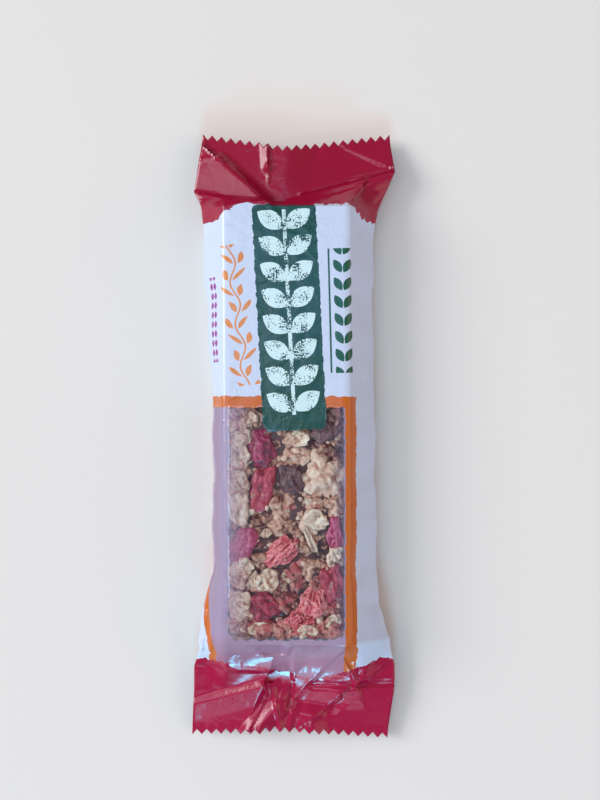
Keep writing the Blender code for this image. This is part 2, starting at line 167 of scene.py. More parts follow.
class Drawing:
    """A print that is drawn with nodes, in millimetres from the middle of the front."""

    def __init__(self, tree: bpy.types.NodeTree) -> None:
        """Sets up the places on the print: flat, brushed for most inks and torn for the red ends.

        Args:
            tree: The material's node tree.
        """
        self.tree = tree
        self.flat = add_node(tree, "UVMap", uv_map=PRINT_MAP)[0]
        rough = add_node(
            tree, "TexNoise", {"Vector": self.flat, "Scale": 0.6, "Detail": 4.0}, noise_dimensions="2D"
        )
        centred = add_node(tree, "VectorMath", {0: rough["Color"], 1: (0.5, 0.5, 0.5)}, operation="SUBTRACT")
        # The outlines of the inks wander by about 0.15 mm, and those of the red ends by 0.4 mm.
        self.brushed, self.torn = [
            add_node(
                tree,
                "VectorMath",
                {0: centred[0], 1: (reach, reach, 0), 2: self.flat},
                operation="MULTIPLY_ADD",
            )[0]
            for reach in (1.0, 2.2)
        ]

    def local(
        self, source: Socket, x: float = 0.0, y: float = 0.0, turn: float = 0.0
    ) -> tuple[Socket, Socket]:
        """Print places counted from a motif's middle and turned with it.

        Args:
            source: Places on the print.
            x: The motif's middle, across the pack.
            y: The motif's middle, along the pack.
            turn: Its turn in degrees, anticlockwise.

        Returns:
            The place across and the place along.
        """
        moved = add_node(
            self.tree,
            "Mapping",
            {"Vector": source, "Location": (x, y, 0), "Rotation": (0, 0, math.radians(turn))},
            vector_type="TEXTURE",
        )
        split = add_node(self.tree, "SeparateXYZ", {"Vector": moved[0]})
        return split["X"], split["Y"]

    def between(self, value: Socket, low: Socket | float, high: Socket | float) -> Socket:
        """The mask of where a value is between two others."""
        above = add_node(self.tree, "Math", {0: value, 1: low}, operation="GREATER_THAN")[0]
        below = add_node(self.tree, "Math", {0: value, 1: high}, operation="LESS_THAN")[0]
        return self.both(above, below)

    def both(self, first: Socket, second: Socket) -> Socket:
        """The mask of where two masks meet."""
        return add_node(self.tree, "Math", {0: first, 1: second}, operation="MULTIPLY")[0]

    def either(self, first: Socket, second: Socket) -> Socket:
        """The mask of where at least one of two masks is."""
        return add_node(self.tree, "Math", {0: first, 1: second}, operation="MAXIMUM")[0]

    def without(self, first: Socket, second: Socket) -> Socket:
        """The first mask less the second."""
        left = add_node(self.tree, "Math", {0: first, 1: second}, operation="SUBTRACT")[0]
        return add_node(self.tree, "Math", {0: left, 1: 0.0}, operation="MAXIMUM")[0]

    def blend(self, mask: Socket, outside: Socket | float, inside: Socket | float) -> Socket:
        """One value where a mask is 0 and another where it is 1."""
        return add_node(self.tree, "Mix", {0: mask, 2: outside, 3: inside}, data_type="FLOAT")[0]

    def over(self, mask: Socket, below: Socket | tuple, ink: str) -> Socket:
        """Lays an ink over a colour where a mask says."""
        return add_node(self.tree, "Mix", {0: mask, 6: below, 7: srgb(ink)}, data_type="RGBA")[2]

    def rounded_box(self, x: Socket, y: Socket, half_x: float, half_y: float, corner: float) -> Socket:
        """The mask of a box with round corners.

        Args:
            x: The place across, from the box's middle.
            y: The place along, from the box's middle.
            half_x: Half its width.
            half_y: Half its length.
            corner: The radius of its corners.

        Returns:
            The mask.
        """
        legs = []
        for place, half in ((x, half_x), (y, half_y)):
            size = add_node(self.tree, "Math", {0: place}, operation="ABSOLUTE")[0]
            past = add_node(self.tree, "Math", {0: size, 1: half - corner}, operation="SUBTRACT")[0]
            legs.append(add_node(self.tree, "Math", {0: past, 1: 0.0}, operation="MAXIMUM")[0])
        spot = add_node(self.tree, "CombineXYZ", {"X": legs[0], "Y": legs[1]})[0]
        length = add_node(self.tree, "VectorMath", {0: spot}, operation="LENGTH")["Value"]
        return add_node(self.tree, "Math", {0: length, 1: corner}, operation="LESS_THAN")[0]

    def leaf_pairs(
        self, x: Socket, y: Socket, pitch: float, reach: float, half_length: float, half_width: float,
        lean: float,
    ) -> Socket:
        """The mask of paired leaves up a stem: pointed ovals, mirrored about the stem and repeated along it.

        Args:
            x: The place across, from the stem.
            y: The place along the stem.
            pitch: The distance from pair to pair.
            reach: How far each leaf's middle is from the stem.
            half_length: Half a leaf's length.
            half_width: Half a leaf's width.
            lean: How far a leaf leans up from across the stem, in degrees.

        Returns:
            The mask.
        """
        side = add_node(self.tree, "Math", {0: x}, operation="ABSOLUTE")[0]
        out = add_node(self.tree, "Math", {0: side, 1: reach}, operation="SUBTRACT")[0]
        cell = add_node(self.tree, "Math", {0: y, 1: pitch}, operation="FLOORED_MODULO")[0]
        up = add_node(self.tree, "Math", {0: cell, 1: pitch / 2}, operation="SUBTRACT")[0]
        spot = add_node(self.tree, "CombineXYZ", {"X": out, "Y": up})[0]
        along, across = self.local(spot, turn=lean)
        long_part = add_node(self.tree, "Math", {0: along, 1: half_length}, operation="DIVIDE")[0]
        wide_part = add_node(self.tree, "Math", {0: across, 1: half_width}, operation="DIVIDE")[0]
        long_square = add_node(self.tree, "Math", {0: long_part, 1: 2.0}, operation="POWER")[0]
        width = add_node(self.tree, "Math", {0: wide_part}, operation="ABSOLUTE")[0]
        total = add_node(self.tree, "Math", {0: long_square, 1: width}, operation="ADD")[0]
        return add_node(self.tree, "Math", {0: total, 1: 1.0}, operation="LESS_THAN")[0]

    def speckle(self, size: float, share: float) -> Socket:
        """The mask of specks in patches, as where an ink has worn away; it also breaks up a painted highlight.

        Args:
            size: The specks' spacing.
            share: The noise level above which a speck shows.

        Returns:
            The mask.
        """
        grain = add_node(
            self.tree,
            "TexNoise",
            {"Vector": self.flat, "Scale": 1 / size, "Detail": 2.0},
            noise_dimensions="2D",
        )[0]
        patch = add_node(self.tree, "TexNoise", {"Vector": self.flat, "Scale": 0.3}, noise_dimensions="2D")[0]
        total = add_node(self.tree, "Math", {0: grain, 1: patch}, operation="ADD")[0]
        return add_node(self.tree, "Math", {0: total, 1: share}, operation="GREATER_THAN")[0]


@dataclass(frozen=True)
class PrintedFilm:
    """Flow-wrap film of oriented polypropylene, printed inside: flat inks under a thin glossy skin."""

    clear: bool
    white: str = "#c8d1e4"
    red: str = "#9a0533"
    # The window end's red is the plain end's ink painted lighter, as more light falls on that end.
    window_end_red_painted_lighter: str = "#a4063b"
    green: str = "#0c453a"
    mint: str = "#cfe8e8"
    orange: str = "#c6621b"
    vine: str = "#d9853f"
    leaf: str = "#1a5540"
    dot: str = "#96408f"
    haze: str = "#c8aed0"
    low_haze: str = "#ca80a2"
    # The grey line round the bar is painted shade, and the pale blue line along its left edge is a painted
    # highlight.
    painted_edge_shade: str = "#8a8a9c"
    painted_glint: str = "#e2e8ff"
    tight_alpha: float = 0.02
    left_milk_and_reflection_alpha: float = 0.29
    right_milk_and_reflection_alpha: float = 0.14
    loose_alpha: float = 0.55
    painted_glint_alpha: float = 0.55

    def ear_mask(self, draw: Drawing) -> Socket:
        """The worn pale oat ear on the label: paired leaves on a stem.

        Args:
            draw: The print.

        Returns:
            Its mask.
        """
        x, y = draw.local(draw.flat, -1.3, 31.0, 3.0)
        leaves = draw.leaf_pairs(x, y, pitch=6.3, reach=3.25, half_length=3.8, half_width=2.2, lean=34)
        ear = draw.both(draw.either(leaves, draw.between(x, -0.45, 0.45)), draw.between(y, -25.2, 24.4))
        return draw.without(ear, draw.speckle(0.4, 1.1))

    def vine_mask(self, draw: Drawing) -> Socket:
        """The vine that trails down the left, with a stem that swings from side to side.

        Args:
            draw: The print.

        Returns:
            Its mask.
        """
        x, y = draw.local(draw.flat, -13.6, 30.0, 7.0)
        swing = add_node(draw.tree, "Math", {0: y, 1: 0.62}, operation="MULTIPLY")[0]
        swing = add_node(draw.tree, "Math", {0: swing}, operation="SINE")[0]
        swing = add_node(draw.tree, "Math", {0: swing, 1: 0.9}, operation="MULTIPLY")[0]
        x = add_node(draw.tree, "Math", {0: x, 1: swing}, operation="SUBTRACT")[0]
        leaves = draw.leaf_pairs(x, y, pitch=3.9, reach=1.65, half_length=1.75, half_width=0.62, lean=52)
        return draw.both(draw.either(leaves, draw.between(x, -0.22, 0.22)), draw.between(y, -17.2, 17.0))

    def leaf_mask(self, draw: Drawing) -> Socket:
        """The column of dark leaves on the right, with a thin rule beside it.

        Args:
            draw: The print.

        Returns:
            Its mask.
        """
        x, y = draw.local(draw.flat, 11.9, 31.0, 1.5)
        leaves = draw.leaf_pairs(x, y, pitch=4.3, reach=1.15, half_length=1.85, half_width=0.95, lean=60)
        rule = draw.both(draw.between(x, -3.5, -3.05), draw.between(y, -15.0, 15.0))
        return draw.either(draw.both(leaves, draw.between(y, -15.05, 15.05)), rule)

    def dot_mask(self, draw: Drawing) -> Socket:
        """The berry dots down the left side.

        Args:
            draw: The print.

        Returns:
            Their mask.
        """
        x, y = draw.local(draw.flat, -21.6, 29.0, 2.0)
        dots = draw.leaf_pairs(x, y, pitch=2.3, reach=0.8, half_length=0.75, half_width=0.85, lean=0)
        return draw.both(dots, draw.between(y, -10.4, 10.3))

    def window_masks(self, draw: Drawing) -> tuple[Socket, Socket]:
        """The window and the coloured frame round it, before the label and the red ends cover some of them.

        Args:
            draw: The print.

        Returns:
            The masks of the frame and of the window.
        """
        across, along = draw.local(draw.brushed)
        edge = dict(zip(("From Min", "From Max", "To Min", "To Max"), WINDOW_LEFT_Y + WINDOW_LEFT_X))
        left = add_node(draw.tree, "MapRange", {"Value": along, **edge})[0]
        outer = add_node(draw.tree, "Math", {0: left, 1: 2.3}, operation="SUBTRACT")[0]
        band = draw.both(draw.between(across, outer, 15.8), draw.between(along, -70.0, 10.3))
        window = draw.both(draw.between(across, left, WINDOW_RIGHT), draw.between(along, -70.0, WINDOW_TOP))
        return band, window

    def red_masks(self, draw: Drawing) -> tuple[Socket, Socket]:
        """The red ends, which reach further in at the sides and on the back stop at the crimp.

        Args:
            draw: The print.

        Returns:
            The masks of the plain end and of the window end.
        """
        across, along = draw.local(draw.torn)
        side = add_node(draw.tree, "Math", {0: across}, operation="ABSOLUTE")[0]
        top_edge = add_node(
            draw.tree,
            "MapRange",
            {"Value": side, "From Min": 12.5, "From Max": 21.0, "To Min": 56.8, "To Max": 53.0},
            interpolation_type="SMOOTHSTEP",
        )[0]
        from_dip = add_node(draw.tree, "Math", {0: across, 1: DIP_X}, operation="SUBTRACT")[0]
        from_dip = add_node(draw.tree, "Math", {0: from_dip}, operation="ABSOLUTE")[0]
        low_edge = add_node(
            draw.tree,
            "MapRange",
            {"Value": from_dip, "From Max": DIP_REACH, "To Min": DIP_Y[0], "To Max": DIP_Y[1]},
        )[0]
        back_edge = add_node(
            draw.tree, "MapRange", {"Value": side, "From Min": 27.0, "From Max": 29.0, "To Max": -7.4}
        )[0]
        low_edge = add_node(draw.tree, "Math", {0: low_edge, 1: back_edge}, operation="ADD")[0]
        top = add_node(draw.tree, "Math", {0: along, 1: top_edge}, operation="GREATER_THAN")[0]
        low = add_node(draw.tree, "Math", {0: along, 1: low_edge}, operation="LESS_THAN")[0]
        return top, low

    def clear_window(self, draw: Drawing, window: Socket, colour: Socket) -> tuple[Socket, Socket]:
        """The clear film: nearly unseen where it is tight over the bar and milky where it is slack, with
        painted reflection, painted shade and a painted highlight at the bar's edges.

        Args:
            draw: The print.
            window: The window's mask.
            colour: The colour of the print round it.

        Returns:
            The colour and the alpha of the whole film.
        """
        x, along = draw.local(draw.brushed, BAR_X)
        y = draw.local(draw.torn)[1]
        tight = draw.rounded_box(x, y, 13.75, 48.3, 2.4)
        rim = draw.without(draw.rounded_box(x, y, 13.98, 48.53, 2.5), tight)
        left_half = add_node(draw.tree, "Math", {0: x, 1: 0.0}, operation="LESS_THAN")[0]
        # A broken pale blue line along the bar's left edge, where the film turns down, is a painted highlight.
        painted_glint_line = draw.both(left_half, draw.between(y, -38.0, 20.0))
        painted_glint_line = draw.both(draw.both(painted_glint_line, draw.speckle(5.0, 0.82)), rim)
        low = add_node(draw.tree, "MapRange", {"Value": along, "From Min": -47.0, "From Max": -55.0})[0]
        # Over the window: the film's milky tint, pinker towards the window end, then the painted shade line
        # round the bar and the painted highlight.
        for mask, ink in (
            (window, self.haze),
            (draw.both(window, low), self.low_haze),
            (draw.both(window, rim), self.painted_edge_shade),
            (painted_glint_line, self.painted_glint),
        ):
            colour = draw.over(mask, colour, ink)
        # The film is milkier along the bar's left edge and less so along its right edge: partly slack film,
        # partly painted reflection of the film seen on the slant.
        over_bar = self.tight_alpha
        for inner, outer, milky in ((-8.5, -13.5, self.left_milk_and_reflection_alpha), (11.0, 13.8, self.right_milk_and_reflection_alpha)):
            edge = add_node(
                draw.tree, "MapRange", {"Value": x, "From Min": inner, "From Max": outer, "To Max": milky}
            )[0]
            over_bar = add_node(draw.tree, "Math", {0: edge, 1: over_bar}, operation="ADD")[0]
        alpha = draw.blend(tight, self.loose_alpha, over_bar)
        alpha = draw.blend(painted_glint_line, alpha, self.painted_glint_alpha)
        return colour, draw.blend(window, 1.0, alpha)

    def crinkle(self, draw: Drawing) -> Socket:
        """The film's own soft creases, about 3 mm apart, with sharper ones of 1 mm in some places.

        Args:
            draw: The print.

        Returns:
            The bumped normal.
        """
        soft = add_node(
            draw.tree,
            "TexNoise",
            {"Vector": draw.flat, "Scale": 0.33, "Detail": 2.0, "Roughness": 0.4, "Distortion": 0.5},
            noise_dimensions="2D",
        )[0]
        sharp = add_node(
            draw.tree,
            "TexVoronoi",
            {"Vector": draw.flat, "Scale": 0.9},
            voronoi_dimensions="2D",
            feature="DISTANCE_TO_EDGE",
        )["Distance"]
        where = add_node(
            draw.tree, "TexNoise", {"Vector": draw.flat, "Scale": 0.11, "Detail": 1.0}, noise_dimensions="2D"
        )[0]
        where = add_node(
            draw.tree, "MapRange", {"Value": where, "From Min": 0.55, "From Max": 0.68, "To Max": 0.45}
        )[0]
        height = add_node(draw.tree, "Math", {0: sharp, 1: where, 2: soft}, operation="MULTIPLY_ADD")[0]
        return add_node(draw.tree, "Bump", {"Height": height, "Strength": 0.17, "Distance": 0.0005})[0]

    def build(self) -> bpy.types.Material:
        """Makes the film's material, with its print laid out on the print map.

        Returns:
            The material.
        """
        name = "clear_polypropylene_film" if self.clear else "printed_polypropylene_film"
        made = bpy.data.materials.new(name)
        made.use_nodes = True
        shader = made.node_tree.nodes["Principled BSDF"]
        draw = Drawing(made.node_tree)
        red_top, red_low = self.red_masks(draw)
        band, window = self.window_masks(draw)
        label_x, label_y = draw.local(draw.brushed, *LABEL_MIDDLE, LABEL_TURN)
        label = draw.without(draw.rounded_box(label_x, label_y, *LABEL_HALF, LABEL_CORNER), red_top)
        colour = srgb(self.white)
        for mask, ink in (
            (self.vine_mask(draw), self.vine),
            (self.leaf_mask(draw), self.leaf),
            (self.dot_mask(draw), self.dot),
            (band, self.orange),
            (red_top, self.red),
            # The window end's red, painted lighter.
            (red_low, self.window_end_red_painted_lighter),
            (label, self.green),
            (draw.both(self.ear_mask(draw), label), self.mint),
        ):
            colour = draw.over(mask, colour, ink)
        if self.clear:
            window = draw.without(draw.without(window, label), draw.either(red_top, red_low))
            colour, alpha = self.clear_window(draw, window, colour)
            draw.tree.links.new(alpha, shader.inputs["Alpha"])
        draw.tree.links.new(colour, shader.inputs["Base Color"])
        draw.tree.links.new(self.crinkle(draw), shader.inputs["Normal"])
        shader.inputs["Roughness"].default_value = 0.16 if self.clear else 0.22
        shader.inputs["IOR"].default_value = 1.75 if self.clear else 1.5
        return made


@dataclass(frozen=True)
class Foodstuff:
    """Dried food: three tones with painted shade in creases and painted light on bulges, a stain in patches of
    real size, a rough or waxy skin.
    """

    name: str
    dark: str
    mid: str
    light: str
    stain: str
    grain_mm: float
    stain_level: float
    roughness: float
    relief: float
    coat: float = 0.0
    patch_mm: float = 2.6

    def build(self) -> bpy.types.Material:
        """Makes the material, or finds it where another piece has it already.

        Returns:
            The material.
        """
        if self.name in bpy.data.materials:
            return bpy.data.materials[self.name]
        made = bpy.data.materials.new(self.name)
        made.use_nodes = True
        tree = made.node_tree
        shader = tree.nodes["Principled BSDF"]
        place = add_node(tree, "TexCoord")["Object"]
        tone = add_node(tree, "Attribute", attribute_name="tone")["Fac"]
        depth = add_node(tree, "Attribute", attribute_name="depth")["Fac"]
        grain = add_node(
            tree,
            "TexNoise",
            {"Vector": place, "Scale": 1 / (self.grain_mm * MM), "Detail": 4.0, "Roughness": 0.6},
        )[0]
        mixed = add_node(tree, "Math", {0: grain, 1: 0.8, 2: -0.1}, operation="MULTIPLY_ADD")[0]
        # The depth weighs in most: creases take the dark tone and bulges the light one, as painted shade and
        # painted light.
        for layer, weight in ((tone, 0.3), (depth, 0.45)):
            mixed = add_node(tree, "Math", {0: layer, 1: weight, 2: mixed}, operation="MULTIPLY_ADD")[0]
        tones = add_node(tree, "ValToRGB", {"Fac": mixed})["Color"]
        stops = tones.node.color_ramp.elements
        stops[0].position, stops[0].color = 0.3, srgb(self.dark)
        stops[1].position, stops[1].color = 0.9, srgb(self.light)
        stops.new(0.56).color = srgb(self.mid)
        patch = add_node(
            tree, "TexNoise", {"Vector": place, "Scale": 1 / (self.patch_mm * MM), "Detail": 3.0}
        )[0]
        level = {"From Min": self.stain_level, "From Max": self.stain_level + 0.09, "To Max": 0.75}
        stained = add_node(tree, "MapRange", {"Value": patch, **level})[0]
        colour = add_node(tree, "Mix", {0: stained, 6: tones, 7: srgb(self.stain)}, data_type="RGBA")[2]
        tree.links.new(colour, shader.inputs["Base Color"])
        fine = add_node(
            tree,
            "TexNoise",
            {"Vector": place, "Scale": 1 / (0.5 * self.grain_mm * MM), "Detail": 5.0, "Roughness": 0.65},
        )[0]
        bump = add_node(tree, "Bump", {"Height": fine, "Strength": self.relief, "Distance": 0.0005})[0]
        tree.links.new(bump, shader.inputs["Normal"])
        shader.inputs["Roughness"].default_value = self.roughness
        shader.inputs["Coat Weight"].default_value = self.coat
        shader.inputs["Coat Roughness"].default_value = 0.2
        return made


# Toasted oat and rice crisps held by syrup: matt grains with a slight shine where the syrup pooled.
TOASTED_CRISP = Foodstuff(
    "toasted_oat_crisp", "#541a15", "#bb917b", "#e8d5c0", "#b4525a",
    grain_mm=0.9, stain_level=0.6, roughness=0.6, relief=0.7, coat=0.15,
)
# The same crisps where the juice of the fruit has soaked in.
STAINED_CRISP = Foodstuff(
    "berry_stained_crisp", "#5c1c20", "#ad7068", "#dcae9f", "#ad3f4a",
    grain_mm=0.9, stain_level=0.52, roughness=0.55, relief=0.7, coat=0.2,
)
# Rolled oats: pressed flat when soft, so they dry cream and chalky with a fold down the middle.
ROLLED_OAT = Foodstuff(
    "rolled_oat_flake", "#8f6a55", "#c2aa94", "#e6dac6", "#cf9683",
    grain_mm=1.0, stain_level=0.66, roughness=0.65, relief=0.5,
)
# Dried berries: a wrinkled skin, waxy on its folds, with painted shade between them.
DRIED_BERRY = Foodstuff(
    "dried_purple_berry", "#4c0a22", "#93204a", "#bd5f82", "#741334",
    grain_mm=0.8, stain_level=0.62, roughness=0.36, relief=0.4, coat=0.3,
)
# The same of a redder kind.
RED_BERRY = Foodstuff(
    "dried_red_berry", "#4d0b18", "#96203a", "#bd5363", "#741128",
    grain_mm=0.8, stain_level=0.62, roughness=0.36, relief=0.4, coat=0.3,
)
# Freeze-dried strawberry: coral and without shine, its pores darkened with painted shade and its rims lightened
# with painted light.
DRIED_STRAWBERRY = Foodstuff(
    "freeze_dried_strawberry", "#98283a", "#cf636a", "#f0b4b2", "#b93548",
    grain_mm=0.6, stain_level=0.56, roughness=0.5, relief=0.6,
)
# Dried currants: a bloom of sugar greys the nearly black skin.
DRIED_CURRANT = Foodstuff(
    "dried_currant", "#27130f", "#56353a", "#8b6a6b", "#41222a",
    grain_mm=0.8, stain_level=0.6, roughness=0.45, relief=0.6, coat=0.2,
)
# Syrup and crumbs between the clusters, sticky and glossy; their near black colour is partly painted shade in
# the gaps.
SYRUP_CRUMB_AND_GAP_SHADE = Foodstuff(
    "syrup_crumb_and_gap_shade", "#1f0809", "#532019", "#8a4d40", "#461319",
    grain_mm=0.8, stain_level=0.55, roughness=0.4, relief=0.7, coat=0.3,
)


# Flow-wrap


@dataclass(frozen=True)
class PackEnd:
    """One sealed end of the pack, as lines at its left edge, its middle and its right edge.

    The start of the seal and its cut have places along and heights. At the sides the film hastes to the seal,
    and between them it falls early. A ridge has its place across at the cut and at the seal, its width to the
    left and to the right, and its height.
    """

    sign: int
    seal_line: Three
    seal_z: Three
    cut_line: Three
    cut_z: Three
    cut_half: float
    cut_shift: float
    side_haste: float
    fall: float
    ridges: tuple[tuple[float, float, float, float, float], ...]


@dataclass(frozen=True)
class Crease:
    """A fold in the film seen from above: its ends, its heights there and how far it slopes to each side."""

    start: tuple[float, float]
    end: tuple[float, float]
    heights: tuple[float, float]
    left: float
    right: float


@dataclass
class FlowWrap:
    """The film: one tube round the bar, flattened and sealed at both ends with a zigzag cut."""

    columns: int = 320
    bar_x: float = BAR_X
    bar_half: float = BAR_HALF
    bar_y: tuple[float, float] = BAR_Y
    beside: float = 1.1
    beyond: float = 0.7
    back_z: float = 0.3
    front_z: float = 14.55
    side_z: tuple[float, float] = (6.6, 5.8)
    rounding: float = 0.75
    flat_half: float = 25.0
    seal: float = 0.36
    tooth: float = 1.3
    tooth_pitch: float = 2.5
    fin: float = 0.3
    fin_half: float = 5.0
    left_side: Line = (
        (-49.7, -24.4), (-42.0, -22.9), (-33.0, -20.6), (9.0, -20.4), (28.0, -21.8), (47.0, -22.9),
        (56.2, -23.4),
    )
    right_side: Line = (
        (-49.7, 24.4), (-41.0, 21.3), (-10.0, 20.6), (30.0, 19.9), (48.0, 20.0), (56.2, 21.2)
    )
    across: Three = (-25.0, -3.0, 25.0)
    top: PackEnd = PackEnd(
        sign=1, seal_line=(61.2, 58.6, 66.0), seal_z=(5.2, 6.2, 5.6),
        cut_line=(74.5, 71.2, 74.6), cut_z=(3.6, 4.8, 3.4), cut_half=23.3, cut_shift=0.5,
        side_haste=1.0, fall=0.0, ridges=((-2.0, -3.0, 40.0, 6.5, 1.4),),
    )
    bottom: PackEnd = PackEnd(
        sign=-1, seal_line=(-62.8, -61.4, -62.0), seal_z=(4.6, 5.8, 4.8),
        cut_line=(-73.4, -72.0, -74.2), cut_z=(2.4, 4.4, 2.8), cut_half=24.5, cut_shift=-1.2,
        side_haste=1.8, fall=0.8,
        ridges=((-8.5, 0.5, 4.5, 4.5, 2.6), (-1.5, 1.5, 2.4, 2.4, 1.4), (6.0, 2.5, 4.0, 4.0, 1.2)),
    )
    creases: tuple[Crease, ...] = (
        # Plain printed end.
        Crease((-18.7, 69.0), (-7.5, 58.3), (2.0, 3.4), 2.4, 9.0),
        Crease((-23.9, 61.0), (-7.5, 57.9), (0.35, 0.5), 0.6, 2.2),
        Crease((-23.9, 60.6), (-10.9, 57.2), (0.3, 0.4), 0.4, 1.0),
        Crease((-22.6, 73.2), (-18.2, 68.9), (0.6, 0.6), 0.6, 0.8),
        Crease((-23.3, 69.3), (-17.0, 69.0), (0.3, 0.3), 0.5, 0.5),
        Crease((-14.5, 66.3), (-12.0, 64.0), (0.3, 0.4), 0.5, 0.5),
        Crease((-6.9, 72.8), (-6.6, 67.5), (1.15, 1.0), 0.5, 1.9),
        Crease((-6.6, 67.5), (-6.3, 63.6), (0.5, 0.35), 0.4, 0.9),
        Crease((24.7, 65.8), (-1.7, 58.9), (0.7, 0.6), 1.5, 0.5),
        Crease((24.7, 64.6), (5.6, 58.3), (0.5, 0.4), 1.8, 0.5),
        Crease((24.6, 66.9), (1.5, 60.8), (0.65, 0.4), 0.6, 1.0),
        Crease((16.6, 61.8), (14.4, 58.6), (1.0, 0.7), 0.8, 3.6),
        Crease((12.9, 72.3), (22.8, 67.6), (0.2, 0.6), 5.0, 0.8),
        # Window end.
        Crease((-7.6, -61.1), (-12.1, -72.1), (1.5, 1.0), 1.2, 11.0),
        Crease((-25.1, -66.6), (-7.6, -61.1), (0.6, 1.2), 1.7, 4.5),
        Crease((-6.9, -64.1), (-11.4, -72.7), (0.5, 0.9), 0.6, 1.0),
        Crease((-5.2, -62.5), (-3.5, -72.5), (0.5, 0.7), 0.8, 0.8),
        Crease((-0.5, -61.8), (-2.3, -72.7), (-0.5, -0.8), 1.0, 1.0),
        Crease((10.6, -64.6), (3.5, -70.6), (1.2, 0.4), 1.5, 6.0),
        Crease((4.6, -61.4), (25.1, -61.4), (-0.6, -0.9), 1.3, 1.3),
        Crease((14.1, -58.1), (15.4, -61.2), (0.9, 0.7), 1.0, 7.0),
        Crease((15.1, -61.4), (18.8, -55.9), (0.6, 0.3), 0.9, 0.9),
        Crease((15.1, -61.4), (23.3, -55.4), (0.7, 0.3), 1.0, 1.0),
        Crease((15.1, -61.4), (14.6, -55.8), (0.5, 0.3), 0.9, 0.9),
        Crease((-14.4, -56.9), (-5.9, -57.2), (0.9, 1.4), 4.5, 0.8),
        Crease((-6.8, -52.6), (-4.6, -52.6), (-1.1, -1.1), 3.2, 0.8),
        Crease((0.5, -65.6), (9.4, -66.6), (-1.5, -0.9), 4.3, 3.0),
        Crease((-0.2, -53.5), (-0.2, -59.4), (0.5, 0.6), 3.0, 0.7),
        Crease((-1.2, -50.3), (-2.0, -52.6), (0.6, 0.4), 0.8, 1.4),
        Crease((12.0, -51.0), (4.4, -59.9), (0.4, 0.8), 0.9, 4.0),
        Crease((-21.0, -33.0), (-22.8, -52.0), (0.2, 0.8), 0.7, 0.9),
        Crease((-19.4, -38.0), (-20.6, -52.0), (0.2, 0.5), 0.9, 0.7),
    )

    def outline(self, y: float, shares: np.ndarray) -> np.ndarray:
        """The film round the bar at one place along it, as in the solid.

        Args:
            y: The place along the pack.
            shares: Places round the film, from 0 to 1, from the middle of the back over the left side.

        Returns:
            One row of x and z for each place.
        """
        corner = self.bar_half + self.beside
        left = np.interp(y, *np.array(self.left_side).T)
        right = np.interp(y, *np.array(self.right_side).T)
        corners = np.array([
            (self.bar_x, self.back_z), (self.bar_x - corner, self.back_z), (left, self.side_z[0]),
            (self.bar_x - corner, self.front_z), (self.bar_x + corner, self.front_z),
            (right, self.side_z[1]), (self.bar_x + corner, self.back_z), (self.bar_x, self.back_z),
        ])
        dense = 1600
        along = np.concatenate([[0.0], np.cumsum(np.linalg.norm(np.diff(corners, axis=0), axis=1))])
        places = np.linspace(0.0, along[-1], dense, endpoint=False)
        line = np.stack([np.interp(places, along, corners[:, axis]) for axis in (0, 1)], axis=1)
        offsets = np.minimum(np.arange(dense), dense - np.arange(dense))
        kernel = np.exp(-0.5 * (offsets / (self.rounding / (along[-1] / dense))) ** 2)
        spectrum = np.fft.fft(kernel / kernel.sum())[:, None]
        line = np.real(np.fft.ifft(np.fft.fft(line, axis=0) * spectrum, axis=0))
        closed = np.vstack([line, line[:1]])
        along = np.concatenate([[0.0], np.cumsum(np.linalg.norm(np.diff(closed, axis=0), axis=1))])
        return np.stack([np.interp(shares * along[-1], along, closed[:, axis]) for axis in (0, 1)], axis=1)

    def fin_push(self, shares: np.ndarray) -> np.ndarray:
        """How far the folded fin seal stands out over the back, at these places round the film."""
        from_middle = np.minimum(shares, 1 - shares) * 4 * self.flat_half
        return self.fin * (1 - smooth_step(from_middle, self.fin_half - 0.15, self.fin_half + 0.35))

    def body_ring(self, y: float, shares: np.ndarray) -> np.ndarray:
        """One ring of film round the bar.

        Args:
            y: The place along the pack.
            shares: Places round the film.

        Returns:
            One row of x, y and z for each place.
        """
        line = self.outline(y, shares)
        x, z = line[:, 0], line[:, 1]
        beside = smooth_step(np.abs(x - self.bar_x), self.bar_half + self.beside, self.bar_half + 3.6)
        slack = 0.18 * math.sin(0.31 * y + 1.3) + 0.05 * math.sin(0.83 * y + 0.4)
        slack += 0.25 * noise.noise(Vector((0.16 * y, 5.3, 0.7)))
        x = x + beside * slack * np.sign(x)
        return np.stack([x, np.full(len(x), y), z - self.fin_push(shares)], axis=1)

    def flat(self, shares: np.ndarray) -> tuple[np.ndarray, np.ndarray]:
        """Where places round the film lie in the flattened tube.

        Args:
            shares: Places round the film.

        Returns:
            Each place's distance from the middle, and its side: 1 front, -1 back, 0 fold.
        """
        width = 2 * self.flat_half
        on_front = (shares > 0.25) & (shares < 0.75)
        on_back = (shares < 0.25) | (shares > 0.75)
        x = np.where(
            shares <= 0.25,
            -2 * width * shares,
            np.where(shares <= 0.75, -width + 2 * width * shares, 2 * width - 2 * width * shares),
        )
        return x, np.where(on_front, 1.0, np.where(on_back, -1.0, 0.0))

